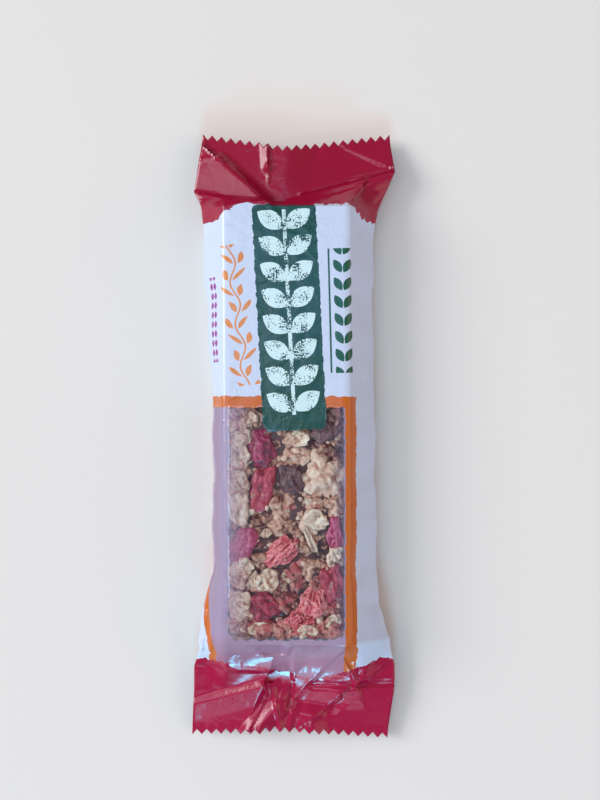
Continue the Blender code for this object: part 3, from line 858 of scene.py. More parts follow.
    def seal_ring(self, end: PackEnd, share: float, shares: np.ndarray) -> np.ndarray:
        """One ring of a sealed end.

        Args:
            end: The end.
            share: 0 where the seal starts, 1 where it is cut.
            shares: Places round the film.

        Returns:
            One row of x, y and z for each place.
        """
        x, front = self.flat(shares)
        y, z = [
            (1 - share) * np.interp(x, self.across, seal) + share * np.interp(x, self.across, cut)
            for seal, cut in ((end.seal_line, end.cut_line), (end.seal_z, end.cut_z))
        ]
        for cut_x, seal_x, left_width, right_width, height in end.ridges:
            off = x - (1 - share) * seal_x - share * cut_x
            reach = np.where(off < 0, -off / left_width, off / right_width)
            z = z + share * height * np.clip(1.1 - np.sqrt(reach * reach + 0.012), 0.0, 1.0)
        teeth = 2 * np.abs((x / self.tooth_pitch) % 1.0 - 0.5)
        y = y + end.sign * self.tooth * teeth * smooth_step(np.array([share]), 0.82, 1.0)[0]
        thickness = self.seal * (1 - smooth_step(np.array([share]), 0.985, 1.0)[0])
        z = z + front * thickness / 2 - self.fin_push(shares) * (front <= 0) * (share < 1)
        narrowing = (1 - share) + share * end.cut_half / self.flat_half
        return np.stack([x * narrowing + share * end.cut_shift, y, z], axis=1)

    def shoulder_ring(self, end: PackEnd, share: float, shares: np.ndarray) -> np.ndarray:
        """One ring between the end of the bar (0) and the start of the seal (1).

        Args:
            end: The end.
            share: How far the ring is from the bar to the seal.
            shares: Places round the film.

        Returns:
            One row of x, y and z for each place.
        """
        start = self.bar_y[1] + self.beyond if end.sign > 0 else self.bar_y[0] - self.beyond
        body = self.body_ring(start, shares)
        seal = self.seal_ring(end, 0.0, shares)
        x, front = self.flat(shares)
        side = smooth_step(np.abs(x), 16.0, 23.0)
        blend = (1 - side) * share + side * min(1.0, share * end.side_haste)
        ring = (1 - blend[:, None]) * body + blend[:, None] * seal
        ring[:, 1] = (1 - share) * body[:, 1] + share * seal[:, 1]
        early = end.fall * (1 - smooth_step(np.abs(x), 9.0, 19.0)) * (front > 0)
        fall = blend * (1 + early * (1 - blend))
        ring[:, 2] = (1 - fall) * body[:, 2] + fall * seal[:, 2]
        return ring

    def crease_height(self, x: np.ndarray, y: np.ndarray) -> np.ndarray:
        """How far the creases lift the film.

        Args:
            x: Places across the pack.
            y: Places along it.

        Returns:
            The lift at each place.
        """
        total = np.zeros_like(x)
        for crease in self.creases:
            start, end = np.array(crease.start), np.array(crease.end)
            run = end - start
            length = float(np.hypot(*run))
            share = np.clip(((x - start[0]) * run[0] + (y - start[1]) * run[1]) / length**2, 0.0, 1.0)
            off_x, off_y = x - start[0] - share * run[0], y - start[1] - share * run[1]
            distance = np.hypot(off_x, off_y)
            on_left = run[0] * off_y - run[1] * off_x > 0
            reach = np.where(on_left, crease.left, crease.right)
            height = crease.heights[0] * (1 - share) + crease.heights[1] * share
            total += height * np.clip(1 - distance / reach, 0.0, 1.0)
        return total

    def grid(self) -> Mesh:
        """Every ring of film, with its places on the print.

        Returns:
            Points as rings by columns by three, and places on the print as rings by columns by two.
        """
        shares = np.linspace(0.0, 1.0, self.columns + 1)
        front = self.flat(shares)[1]
        seal_steps = np.concatenate([np.linspace(0.0, 0.8, 22)[1:], np.linspace(0.8, 1.0, 12)[1:]])
        shoulder_steps = np.linspace(0.0, 1.0, 30)[1:]
        body_steps = np.linspace(self.bar_y[0] - self.beyond, self.bar_y[1] + self.beyond, 168)
        low, high = [
            [(self.shoulder_ring(end, share, shares), share) for share in shoulder_steps]
            + [(self.seal_ring(end, share, shares), 1.0) for share in seal_steps]
            for end in (self.bottom, self.top)
        ]
        body = [(self.body_ring(y, shares), 0.0) for y in body_steps]
        rings, back_shares = zip(*low[::-1], *body, *high)
        points = np.array(rings)
        joined = np.array(back_shares)[:, None]
        lift = self.crease_height(points[:, :, 0], points[:, :, 1])
        points[:, :, 2] += lift * np.where(front[None, :] >= 0, 1.0, joined)
        points[:, :, 2] = np.maximum(points[:, :, 2], 0.02)
        self.ripple(points, front, joined)
        return points, self.print_places(points)

    def ripple(self, points: np.ndarray, front: np.ndarray, joined: np.ndarray) -> None:
        """Adds the film's soft waves: loose at the sides, tight over the bar, slack in the window.

        Args:
            points: The rings, changed in place.
            front: The side of each column.
            joined: How far each ring is sealed.
        """
        x, y, z = points[:, :, 0], points[:, :, 1], points[:, :, 2]
        loose = smooth_step(np.abs(x - self.bar_x), self.bar_half - 1.0, self.bar_half + 4.0)
        window = smooth_step(-y, -9.0, -4.0) * smooth_step(y, -52.0, -47.0)
        on_front = (front[None, :] > 0) * 1.0
        amount = on_front * (0.04 + 0.11 * loose + 0.06 * window * (1 - loose))
        amount = amount + (1 - on_front) * 0.05 * loose
        wave = np.zeros_like(x)
        for number in range(points.shape[0]):
            for column in range(0, points.shape[1] - 1):
                if amount[number, column] < 0.04:
                    continue
                spot = Vector((x[number, column] * 0.16, y[number, column] * 0.13, z[number, column] * 0.16))
                wave[number, column] = noise.noise(spot) + 0.5 * noise.noise(spot * 2.3 + Vector((7, 3, 1)))
        wave[:, -1] = wave[:, 0]
        across = np.gradient(points, axis=1)
        along = np.gradient(points, axis=0)
        outward = np.cross(across, along)
        outward /= np.linalg.norm(outward, axis=2, keepdims=True) + 1e-9
        keep = (1 - joined * 0.75)[:, :, None]
        points += outward * (amount * wave)[:, :, None] * keep
        points[:, -1] = points[:, 0]
        points[:, :, 2] = np.clip(points[:, :, 2], 0.0, 14.6)

    def print_places(self, points: np.ndarray) -> np.ndarray:
        """Where each point lies on the flat print: round from the middle of the front, and along the pack.

        Args:
            points: The rings.

        Returns:
            Rings by columns by two, in millimetres.
        """
        steps = np.linalg.norm(np.diff(points[:, :, ::2], axis=1), axis=2)
        run = np.concatenate([np.zeros((len(points), 1)), np.cumsum(steps, axis=1)], axis=1)
        low, high = int(self.columns * 0.35), int(self.columns * 0.65)
        zero = np.array([
            np.interp(0.0, ring[low:high, 0], length[low:high]) for ring, length in zip(points, run)
        ])
        return np.stack([run - zero[:, None], points[:, :, 1]], axis=2)

    def window_faces(self, places: np.ndarray) -> np.ndarray:
        """Which faces may hold clear film, with a rim of printed film round them.

        Args:
            places: The places on the print.

        Returns:
            Rings less one by columns of true or false.
        """
        middle = (places[:-1, :-1] + places[1:, 1:]) / 2
        across, along = middle[:, :, 0], middle[:, :, 1]
        left = np.interp(along, WINDOW_LEFT_Y, WINDOW_LEFT_X)
        rise = np.clip(np.abs(across - DIP_X) / DIP_REACH, 0.0, 1.0)
        low = DIP_Y[0] + (DIP_Y[1] - DIP_Y[0]) * rise
        held = (across > left - 0.3) & (across < WINDOW_RIGHT + 0.2)
        held &= (along < WINDOW_TOP + 0.2) & (along > low - 0.9)
        turn = math.radians(LABEL_TURN)
        from_x, from_y = across - LABEL_MIDDLE[0], along - LABEL_MIDDLE[1]
        label_x = from_x * math.cos(turn) + from_y * math.sin(turn)
        label_y = from_y * math.cos(turn) - from_x * math.sin(turn)
        past_x = np.maximum(np.abs(label_x) - (LABEL_HALF[0] - LABEL_CORNER), 0.0)
        past_y = np.maximum(np.abs(label_y) - (LABEL_HALF[1] - LABEL_CORNER), 0.0)
        return held & (np.hypot(past_x, past_y) > LABEL_CORNER - 0.3)

    def build(self) -> bpy.types.Object:
        """Makes the film as one closed tube and prints it.

        Returns:
            The film.
        """
        points, places = self.grid()
        rows = len(points) - 1
        deselect_all()
        bpy.ops.mesh.primitive_grid_add(x_subdivisions=self.columns, y_subdivisions=rows, size=2.0)
        film = bpy.context.active_object
        film.name = film.data.name = "flow_wrap_film"
        mesh = film.data
        flat = np.empty(len(mesh.vertices) * 3, np.float32)
        mesh.vertices.foreach_get("co", flat)
        flat = flat.reshape(-1, 3)
        column = np.rint((flat[:, 0] + 1) / 2 * self.columns).astype(int)
        row = np.rint((flat[:, 1] + 1) / 2 * rows).astype(int)
        place_mesh(film, points[row, column])
        corner = np.empty(len(mesh.loops), np.int32)
        mesh.loops.foreach_get("vertex_index", corner)
        for old in list(mesh.uv_layers):
            mesh.uv_layers.remove(old)
        printed = mesh.uv_layers.new(name=PRINT_MAP)
        printed.uv.foreach_set("vector", places[row, column][corner].astype(np.float32).ravel())
        baked = mesh.uv_layers.new(name=BAKE_MAP)
        unrolled = np.stack([column / self.columns, row / rows], axis=1) * 0.998 + 0.001
        baked.uv.foreach_set("vector", unrolled[corner].astype(np.float32).ravel())
        dress(film, PrintedFilm(clear=False).build(), PrintedFilm(clear=True).build())
        clear = self.window_faces(places)
        lowest = np.minimum.reduceat(row[corner], np.arange(0, len(corner), 4))
        leftmost = np.minimum.reduceat(column[corner], np.arange(0, len(corner), 4))
        mesh.polygons.foreach_set("material_index", clear[lowest, leftmost].astype(np.int32))
        bpy.ops.object.mode_set(mode="EDIT")
        bpy.ops.mesh.select_all(action="SELECT")
        bpy.ops.mesh.remove_doubles(threshold=0.000002)
        bpy.ops.mesh.normals_make_consistent(inside=False)
        bpy.ops.object.mode_set(mode="OBJECT")
        bpy.ops.object.shade_smooth_by_angle(angle=math.radians(40))
        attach(film, "root")
        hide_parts("wrapper")
        return film


# Bar


@dataclass(frozen=True)
class Piece:
    """One piece of food on top of the bar: its place, half sizes, turn in degrees and tone from -1 to 1."""

    x: float
    y: float
    half: Three
    turn: float = 0.0
    tone: float = 0.0


@dataclass(frozen=True)
class Wrinkle:
    """How a dried fruit shrivels: its folds' stretch and sway, and how strongly folds and pores stand out."""

    stretch: Three
    sway: float
    sway_scale: float
    level: float
    fold: float
    pore: float
    pore_scale: float
    roundness: float

    def depth(self, spot: Vector, shift: Vector) -> float:
        """How far one place stands out of the fruit.

        Args:
            spot: The place on the unit ball.
            shift: Which of its kind the fruit is.

        Returns:
            0 in a fold and 1 on a ridge, or a little past either.
        """
        along = Vector(place * stretch for place, stretch in zip(spot, self.stretch))
        sway = self.sway * noise.noise_vector(spot * self.sway_scale + shift)
        ridge = 1 - 2.2 * abs(noise.noise(along + shift + sway))
        pore = noise.noise(spot * 2.2 * self.pore_scale + shift)
        return self.level + self.fold * max(ridge, -0.3) + self.pore * pore


# Strawberry shrivels in long fine ribs with open pores, berries and currants in broad folds.
RIBBED = Wrinkle((4.2, 1.1, 2.6), 0.4, 1.6, 0.25, 0.6, 0.28, 2.6, 0.95)
FOLDED = Wrinkle((1.7, 0.8, 1.4), 0.5, 1.4, 0.45, 0.3, 0.3, 1.5, 0.9)


@dataclass
class Heap:
    """Points and faces of many small pieces that end up in one mesh, each point with a tone and a depth."""

    points: list[np.ndarray] = field(default_factory=list)
    faces: list[np.ndarray] = field(default_factory=list)
    tones: list[np.ndarray] = field(default_factory=list)
    depths: list[np.ndarray] = field(default_factory=list)
    count: int = 0

    def add(self, points: np.ndarray, faces: np.ndarray, tone: float, depth: np.ndarray) -> None:
        """Adds one piece.

        Args:
            points: Its vertices in drawing millimetres.
            faces: Its faces, as rows of vertex numbers.
            tone: Its own shade.
            depth: How far each vertex stands out of its own surface.
        """
        self.points.append(points)
        self.faces.append(faces + self.count)
        self.tones.append(np.full(len(points), tone))
        self.depths.append(depth)
        self.count += len(points)

    def build(self, name: str, material: bpy.types.Material, slot: str, *nodes: str) -> bpy.types.Object:
        """Joins the pieces in one object.

        Args:
            name: The object's name.
            material: Its material.
            slot: Not used.
            nodes: The CAD nodes that it stands for.

        Returns:
            The object.
        """
        points, faces = np.concatenate(self.points), np.concatenate(self.faces)
        mesh = bpy.data.meshes.new(name)
        mesh.from_pydata(((points - BOX_MIDDLE) * MM).tolist(), [], faces.tolist())
        for label, values in (("tone", self.tones), ("depth", self.depths)):
            layer = mesh.attributes.new(label, "FLOAT", "POINT")
            layer.data.foreach_set("value", np.concatenate(values).astype(np.float32))
        mesh.polygons.foreach_set("use_smooth", np.ones(len(mesh.polygons), bool))
        made = bpy.data.objects.new(name, mesh)
        bpy.context.scene.collection.objects.link(made)
        dress(made, material)
        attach(made, "root")
        if nodes:
            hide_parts(*nodes)
        return made


def turned(points: np.ndarray, degrees: float) -> np.ndarray:
    """Points turned about the upright through the origin.

    Args:
        points: One row for each point.
        degrees: The turn, anticlockwise from above.

    Returns:
        The turned points.
    """
    angle = math.radians(degrees)
    cos, sin = math.cos(angle), math.sin(angle)
    spin = np.array([[cos, -sin, 0], [sin, cos, 0], [0, 0, 1]])
    return points @ spin.T


def kind_shift(number: int) -> Vector:
    """Where in the noise a lump is read, so that no two are alike."""
    return Vector((number * 3.7, number * 1.9, number * 5.3))


def unit_ball(subdivisions: int) -> Mesh:
    """The points and faces of a ball of radius 1 made of triangles.

    Args:
        subdivisions: How fine it is.

    Returns:
        Its points and its faces.
    """
    deselect_all()
    bpy.ops.mesh.primitive_ico_sphere_add(subdivisions=subdivisions, radius=1.0)
    ball = bpy.context.active_object
    points = np.array([vertex.co[:] for vertex in ball.data.vertices])
    faces = np.array([face.vertices[:] for face in ball.data.polygons])
    bpy.data.objects.remove(ball)
    return points, faces


def unit_flake(rings: int, sides: int) -> Mesh:
    """The points and faces of a thin round flake of radius 1, with a top and an underside.

    Args:
        rings: Rings from its middle to its edge.
        sides: Points round each ring.

    Returns:
        Its points, whose z is 1 on top and -1 below, and its faces.
    """
    points = [(0.0, 0.0, 1.0)]
    for level in (1.0, -1.0):
        for ring in range(1, rings + 1) if level > 0 else range(rings, 0, -1):
            for side in range(sides):
                angle = 2 * math.pi * side / sides
                radius = ring / rings
                points.append((radius * math.cos(angle), radius * math.sin(angle), level))
    points.append((0.0, 0.0, -1.0))
    faces = [(0, 1 + side, 1 + (side + 1) % sides) for side in range(sides)]
    for ring in range(2 * rings - 1):
        near, far = 1 + ring * sides, 1 + (ring + 1) * sides
        for side in range(sides):
            after = (side + 1) % sides
            faces += [(near + side, far + side, far + after), (near + side, far + after, near + after)]
    last = 1 + (2 * rings - 1) * sides
    faces += [(last + side, len(points) - 1, last + (side + 1) % sides) for side in range(sides)]
    return np.array(points), np.array(faces)


@dataclass
class PressedBar:
    """The slab of oats and crisps with its fruit."""

    x: float = BAR_X
    half_width: float = BAR_HALF
    y: tuple[float, float] = BAR_Y
    bottom: float = 1.1
    top: float = 13.7
    soft_limit: float = 0.22
    seed: int = 11
    small_crisp_count: int = 150
    crumb_count: int = 260
    strewn_flakes: int = 12
    fruit: dict[str, tuple[Fruit, Foodstuff, Piece]] = field(default_factory=lambda: {
        "berry_long_upper": (Fruit.BERRY, DRIED_BERRY, Piece(-7.9, -2.4, (3.0, 3.9, 1.9), 8, -0.25)),
        "berry_long_lower": (Fruit.BERRY, RED_BERRY, Piece(-7.6, -11.8, (2.9, 5.2, 1.9), -6, 0.25)),
        "berry_left": (Fruit.BERRY, DRIED_BERRY, Piece(-12.4, -25.9, (2.8, 4.3, 1.8), -32, 0.3)),
        "berry_right_upper": (Fruit.BERRY, DRIED_BERRY, Piece(10.1, -23.2, (1.9, 4.1, 1.7), 4, 0.35)),
        "berry_right_lower": (Fruit.BERRY, RED_BERRY, Piece(9.3, -35.2, (2.3, 4.3, 1.8), 5, -0.1)),
        "berry_bottom": (Fruit.BERRY, RED_BERRY, Piece(-7.1, -41.3, (3.6, 3.6, 1.9), 20, -0.2)),
        "strawberry_middle": (
            Fruit.STRAWBERRY, DRIED_STRAWBERRY, Piece(-2.8, -27.0, (2.6, 4.6, 1.7), -46, 0.1)
        ),
        "strawberry_right": (Fruit.STRAWBERRY, DRIED_STRAWBERRY, Piece(4.8, -39.8, (3.0, 2.9, 1.9), 10, 0.2)),
        "strawberry_low": (Fruit.STRAWBERRY, DRIED_STRAWBERRY, Piece(1.2, -44.2, (2.3, 3.1, 1.6), -50, -0.1)),
        "currant_upper": (Fruit.CURRANT, DRIED_CURRANT, Piece(7.2, 1.7, (2.7, 2.2, 1.6), 12, 0.3)),
        "currant_middle": (Fruit.CURRANT, DRIED_CURRANT, Piece(-0.9, -10.0, (2.5, 3.2, 1.6), 10, -0.1)),
    })
    # Clusters that show: place across and along, half sizes and tone.
    clusters: tuple[tuple[float, ...], ...] = (
        (-13.2, 4.3, 2.9, 3.3, 0.3), (-9.8, 5.2, 2.6, 2.9, 0.1), (-12.8, 0.4, 2.8, 2.0, 0.2),
        (0.0, 0.6, 3.5, 2.2, -0.1), (0.2, -4.5, 3.3, 2.6, 0.3), (10.0, 4.8, 2.1, 2.7, -0.3),
        (7.2, -2.8, 3.4, 2.3, -0.4), (6.8, -9.0, 5.2, 5.6, 0.55),
        (-13.2, -7.5, 2.8, 4.0, 0.1), (-13.2, -14.9, 2.8, 4.2, 0.3), (-3.0, -15.6, 3.7, 3.4, 0.0),
        (-3.0, -20.9, 4.5, 3.4, -0.1), (4.2, -15.2, 3.3, 3.4, 0.2), (4.8, -20.4, 3.5, 2.9, 0.4),
        (10.0, -17.0, 2.2, 3.0, 0.1), (-8.1, -29.0, 2.9, 2.6, 0.0), (-9.2, -20.4, 2.6, 2.9, -0.5),
        (-6.5, -34.6, 3.3, 3.0, 0.4), (-0.5, -33.6, 3.1, 3.3, -0.1), (4.4, -31.2, 3.0, 2.5, 0.0),
        (5.4, -35.6, 2.0, 2.0, 0.0), (9.9, -29.0, 2.2, 2.4, 0.5), (-13.0, -33.1, 2.9, 3.4, 0.3),
        (-12.6, -40.3, 2.9, 3.4, 0.3), (-13.0, -45.6, 2.9, 2.9, 0.0), (-8.3, -46.3, 3.2, 2.4, -0.1),
        (-2.8, -46.5, 2.8, 2.2, 0.1), (4.6, -46.4, 3.4, 2.3, 0.0), (9.5, -41.8, 2.6, 3.2, 0.0),
        (9.0, -46.2, 3.0, 2.5, -0.1), (-1.8, -39.4, 2.8, 2.5, -0.4), (2.6, -26.0, 2.3, 2.6, -0.3),
    )
    # Flakes that show: place, height over the bar's top, half sizes, turn, tilt to the side and tilt along.
    flakes: tuple[tuple[float, ...], ...] = (
        (-12.2, 0.2, -0.6, 2.7, 1.9, 15, 12, -8), (5.4, -19.6, -0.2, 3.1, 2.4, -20, 8, 10),
        (3.9, -24.8, -0.1, 0.9, 3.3, 24, 40, 0), (-6.4, -34.2, 0.0, 3.0, 2.6, 40, -10, -14),
        (0.6, 0.6, -0.3, 3.0, 2.1, -14, -10, 8),
        (-13.3, -4.4, -0.4, 2.5, 3.6, 12, -8, 4), (-13.3, -17.0, -0.3, 2.5, 3.9, -8, 10, 0),
        (-13.1, -10.9, -0.4, 2.3, 3.2, 22, 8, 6),
        (9.9, -28.0, -0.2, 2.2, 1.7, 30, 10, 12),
        (-12.7, -39.6, -0.3, 2.5, 2.2, 70, 14, -6), (-11.6, -30.4, -0.4, 2.1, 1.6, -40, 8, 8),
        (9.6, -44.4, -0.5, 2.3, 1.6, 50, -8, 12),
        (-9.0, -46.0, -0.6, 2.4, 1.5, 15, 14, 4), (3.2, -46.6, -0.4, 2.3, 1.5, -12, 6, 12),
    )

    def crisp_lump(
        self, ball: Mesh, centre: Three, half: Three, turn: float, seed: int, bulge: float, pitch: float
    ) -> Lump:
        """A lump of puffed crisps that fits given half sizes: bulges and finer ones, with creases between.

        Args:
            ball: The unit ball's points and faces.
            centre: Its middle in drawing millimetres.
            half: Its half sizes.
            turn: Its turn about the upright, in degrees.
            seed: Which of its kind it is.
            bulge: How far a bulge stands over the creases, in millimetres.
            pitch: The bulges' spacing, in millimetres.

        Returns:
            Its points, its faces and each point's depth: 0 in a crease, 1 on a bulge.
        """
        points, faces = ball
        shift = kind_shift(seed)
        swell = np.array([1.0 + 0.34 * noise.noise(Vector(p) * 1.4 + shift) for p in points])
        shaped = points * swell[:, None]
        shaped = shaped / np.abs(shaped).max(0) * (np.array(half) - 0.4 * bulge)
        depth = np.empty(len(points))
        for number, p in enumerate(shaped):
            spot = Vector(p) / pitch + shift
            puff = min(1.0, 2.8 * abs(noise.noise(spot + 0.6 * noise.noise_vector(spot * 0.9))))
            fine, finest = noise.noise(spot * 2.7), noise.noise(spot * 6.3)
            depth[number] = 0.12 + 0.6 * puff**0.7 + 0.3 * fine + 0.2 * finest
        depth = np.clip(depth, -0.1, 1.1)
        shaped = shaped + points * ((depth - 0.6) * bulge)[:, None]
        return turned(shaped, turn) + np.array(centre), faces, depth

    def inside(self, points: np.ndarray, margin: float = 0.25) -> np.ndarray:
        """The points held in the bar's box by a soft limit, which flattens what was pressed on the mould.

        Args:
            points: Points in drawing millimetres.
            margin: How far outside the box they may stand.

        Returns:
            The held points.
        """
        low = np.array([self.x - self.half_width, self.y[0], self.bottom]) - margin
        high = np.array([self.x + self.half_width, self.y[1], self.top]) + margin
        held = high - self.soft_limit * np.logaddexp(0.0, (high - points) / self.soft_limit)
        return low + self.soft_limit * np.logaddexp(0.0, (held - low) / self.soft_limit)

    def core(self) -> bpy.types.Object:
        """The pressed base that shows between the clusters as syrup and crumbs, dark partly as painted shade in
        the gaps.

        Returns:
            The base.
        """
        points, faces = unit_ball(7)
        half = np.array([self.half_width - 1.4, (self.y[1] - self.y[0]) / 2 - 1.4, 5.2])
        centre = np.array([self.x, sum(self.y) / 2, self.bottom + 5.6])
        boxed = np.sign(points) * np.abs(points) ** 0.18
        boxed = boxed / np.abs(boxed).max(0)
        shaped = boxed * half
        # The depth also sets the colour: the hollows between the bulges take painted shade.
        depth = np.array([
            0.5 + 0.5 * noise.noise(Vector(p) * 0.55) + 0.4 * (0.5 - noise.voronoi(Vector(p) / 1.5)[0][0])
            for p in shaped
        ])
        shaped = shaped + boxed * ((depth - 0.5) * 0.9)[:, None]
        heap = Heap()
        heap.add(shaped + centre, faces, -0.4, depth)
        return heap.build("syrup_crumb_and_gap_shade_base", SYRUP_CRUMB_AND_GAP_SHADE.build(), "pressed_oats")

    def window_clusters(self) -> list[bpy.types.Object]:
        """The crisp clusters that show in the window, each in its own place; juice stains the lower ones.

        Returns:
            The plain clusters and the stained ones.
        """
        ball = unit_ball(5)
        rng = random.Random(self.seed)
        plain, stained = Heap(), Heap()
        for number, (x, y, half_x, half_y, tone) in enumerate(self.clusters):
            half_z = rng.uniform(2.4, 3.0)
            top = self.top + 0.25 - rng.uniform(0.0, 0.6)
            points, faces, depth = self.crisp_lump(
                ball, (x, y, top - half_z), (half_x * 1.42, half_y * 1.42, half_z), rng.uniform(-20, 20),
                number, 0.95, 3.1,
            )
            soaked = y < -32.0 and x > -10.5
            (stained if soaked else plain).add(self.inside(points), faces, tone, depth)
        return [
            plain.build("crisp_clusters_in_window", TOASTED_CRISP.build(), "pressed_oats", "bar"),
            stained.build("stained_clusters_in_window", STAINED_CRISP.build(), "pressed_oats"),
        ]

    def small_crisps(self) -> bpy.types.Object:
        """Small crisps that fill the gaps between the clusters and the fruit, a little lower than they are.

        Returns:
            The crisps.
        """
        ball = unit_ball(4)
        rng = random.Random(self.seed + 4)
        taken = [(x, y, half_x, half_y) for x, y, half_x, half_y, _ in self.clusters]
        taken += [(piece.x, piece.y, piece.half[0], piece.half[1]) for *_, piece in self.fruit.values()]
        heap = Heap()
        placed = 0
        for _ in range(6000):
            if placed == self.small_crisp_count:
                break
            half = rng.uniform(1.2, 2.3)
            x = rng.uniform(self.x - self.half_width + half, self.x + self.half_width - half)
            y = rng.uniform(self.y[0] + half, 9.5)
            nearest = min(
                math.hypot((x - near_x) / (half_x + 0.05 * half), (y - near_y) / (half_y + 0.05 * half))
                for near_x, near_y, half_x, half_y in taken
            )
            if nearest < 1.0:
                continue
            placed += 1
            taken.append((x, y, half, half))
            points, faces, depth = self.crisp_lump(
                ball, (x, y, self.top - half - rng.uniform(0.6, 1.7)),
                (half, half * rng.uniform(0.9, 1.25), half), rng.uniform(0, 180), placed + 300, 0.5, 2.2,
            )
            heap.add(self.inside(points), faces, rng.uniform(-0.7, 0.5), depth)
        log.info("small crisps placed: %d", placed)
        return heap.build("small_crisps", TOASTED_CRISP.build(), "pressed_oats")

    def other_clusters(self) -> bpy.types.Object:
        """The clusters under the print and round the bar's sides, ends and underside.

        Returns:
            The clusters.
        """
        ball = unit_ball(3)
        rng = random.Random(self.seed + 1)
        heap = Heap()
        spots: list[tuple[float, float, float, Three]] = []
        for row in range(8):
            for column in (-1, 0, 1):
                spots.append((
                    self.x + column * 9.3 + rng.uniform(-0.5, 0.5), 11.0 + row * 6.0 + rng.uniform(-0.6, 0.6),
                    self.top - 2.4, (4.9, 3.8, 2.5),
                ))
        for side in (-1, 1):
            for row in range(16):
                for level in (0, 1):
                    spots.append((
                        self.x + side * (self.half_width - 1.9),
                        self.y[0] + 3.8 + row * 6.5 + rng.uniform(-1, 1),
                        self.bottom + 3.1 + level * 5.4 + rng.uniform(-0.5, 0.5), (1.9, 3.9, 3.2),
                    ))
        for end in (self.y[0] + 1.9, self.y[1] - 1.9):
            for column in range(4):
                for level in (0, 1):
                    spots.append((
                        self.x - 10.2 + column * 6.8 + rng.uniform(-0.5, 0.5), end,
                        self.bottom + 3.1 + level * 5.0, (4.0, 1.9, 3.2),
                    ))
        for number, (x, y, z, half) in enumerate(spots):
            points, faces, depth = self.crisp_lump(ball, (x, y, z), half, 0.0, number + 60, 0.8, 2.2)
            heap.add(self.inside(points), faces, rng.uniform(-0.4, 0.4), depth)
        return heap.build("crisp_clusters_round_sides", TOASTED_CRISP.build(), "pressed_oats")

    def flake(self, shape: Mesh, spot: tuple[float, ...], seed: int) -> Lump:
        """One rolled oat: an uneven oval with a curled rim and a fold down its middle.

        Args:
            shape: The unit flake's points and faces.
            spot: Its place, half sizes, turn and tilts.
            seed: Which of its kind it is.

        Returns:
            Its points, its faces and each point's depth.
        """
        points, faces = shape
        x, y, z, half_x, half_y, turn, roll, pitch = spot
        shift = Vector((seed * 2.3, seed * 4.1, 0.7))
        radius = np.hypot(points[:, 0], points[:, 1])
        outline = np.array([
            1
            + 0.34 * noise.noise(Vector((p[0], p[1], 0)) * 1.5 + shift)
            + 0.16 * noise.noise(Vector((p[0], p[1], 0)) * 4.5 + shift)
            for p in points
        ])
        flat_x, flat_y = points[:, 0] * outline * half_x, points[:, 1] * outline * half_y
        bend = np.array([noise.noise(Vector((p[0] * 1.3, p[1] * 1.3, 0)) + shift) for p in points])
        crumple = np.array([noise.noise(Vector((p[0] * 3.8, p[1] * 3.8, 5)) + shift) for p in points])
        fold = -0.3 * np.exp(-((points[:, 0] / 0.14) ** 2)) * (radius < 0.9)
        height = 1.1 * bend * radius + 0.22 * crumple + fold
        thickness = 0.2 * np.sqrt(np.clip(1 - radius**4, 0.05, 1))
        shaped = np.stack([flat_x, flat_y, height + points[:, 2] * thickness], axis=1)
        tilt = Matrix.Rotation(math.radians(turn), 3, "Z") @ Matrix.Rotation(math.radians(roll), 3, "Y")
        tilt = np.array(tilt @ Matrix.Rotation(math.radians(pitch), 3, "X"))
        # The depth darkens the middle fold and the crumpled hollows as painted shade, and lightens a little
        # towards the rim.
        depth = np.clip(0.62 + 1.1 * crumple + 1.2 * fold + 0.2 * radius, 0.0, 1.0)
        return shaped @ tilt.T + np.array([x, y, z]), faces, depth

    def oat_flakes(self) -> bpy.types.Object:
        """The rolled oats: those that show in their own places, and more strewn between the clusters.

        Returns:
            The flakes.
        """
        shape = unit_flake(7, 24)
        rng = random.Random(self.seed + 2)
        heap = Heap()
        spots = [(x, y, self.top - 0.25 + z, *rest) for x, y, z, *rest in self.flakes]
        for _ in range(self.strewn_flakes):
            size = rng.uniform(1.2, 2.2)
            x, y = rng.uniform(self.x - 12.2, self.x + 12.2), rng.uniform(self.y[0] + 2.5, 8.0)
            if min(math.hypot(x - piece.x, y - piece.y) for *_, piece in self.fruit.values()) < 5.5:
                continue
            spots.append((
                x, y, self.top - rng.uniform(0.8, 1.6), size, size * rng.uniform(0.6, 0.85),
                rng.uniform(0, 360), rng.uniform(-22, 22), rng.uniform(-22, 22),
            ))
        for number, spot in enumerate(spots):
            points, faces, depth = self.flake(shape, spot, number)
            heap.add(self.inside(points, 0.3), faces, rng.uniform(-0.5, 0.4), depth)
        return heap.build("rolled_oat_flakes", ROLLED_OAT.build(), "pressed_oats")

    def crumbs(self) -> bpy.types.Object:
        """Loose crumbs that stick in the gaps between the clusters.

        Returns:
            The crumbs.
        """
        ball = unit_ball(2)
        rng = random.Random(self.seed + 3)
        heap = Heap()
        for number in range(self.crumb_count):
            x = rng.uniform(self.x - self.half_width + 1.0, self.x + self.half_width - 1.0)
            y = rng.uniform(self.y[0] + 1.0, 10.0)
            half = rng.uniform(0.3, 0.8)
            points, faces, depth = self.crisp_lump(
                ball, (x, y, self.top - rng.uniform(1.0, 2.9)),
                (half, half * rng.uniform(0.8, 1.3), half * 0.9),
                rng.uniform(0, 180), number, 0.15, 0.8,
            )
            heap.add(self.inside(points), faces, rng.uniform(-0.8, 0.6), depth)
        return heap.build("loose_crumbs", TOASTED_CRISP.build(), "pressed_oats")

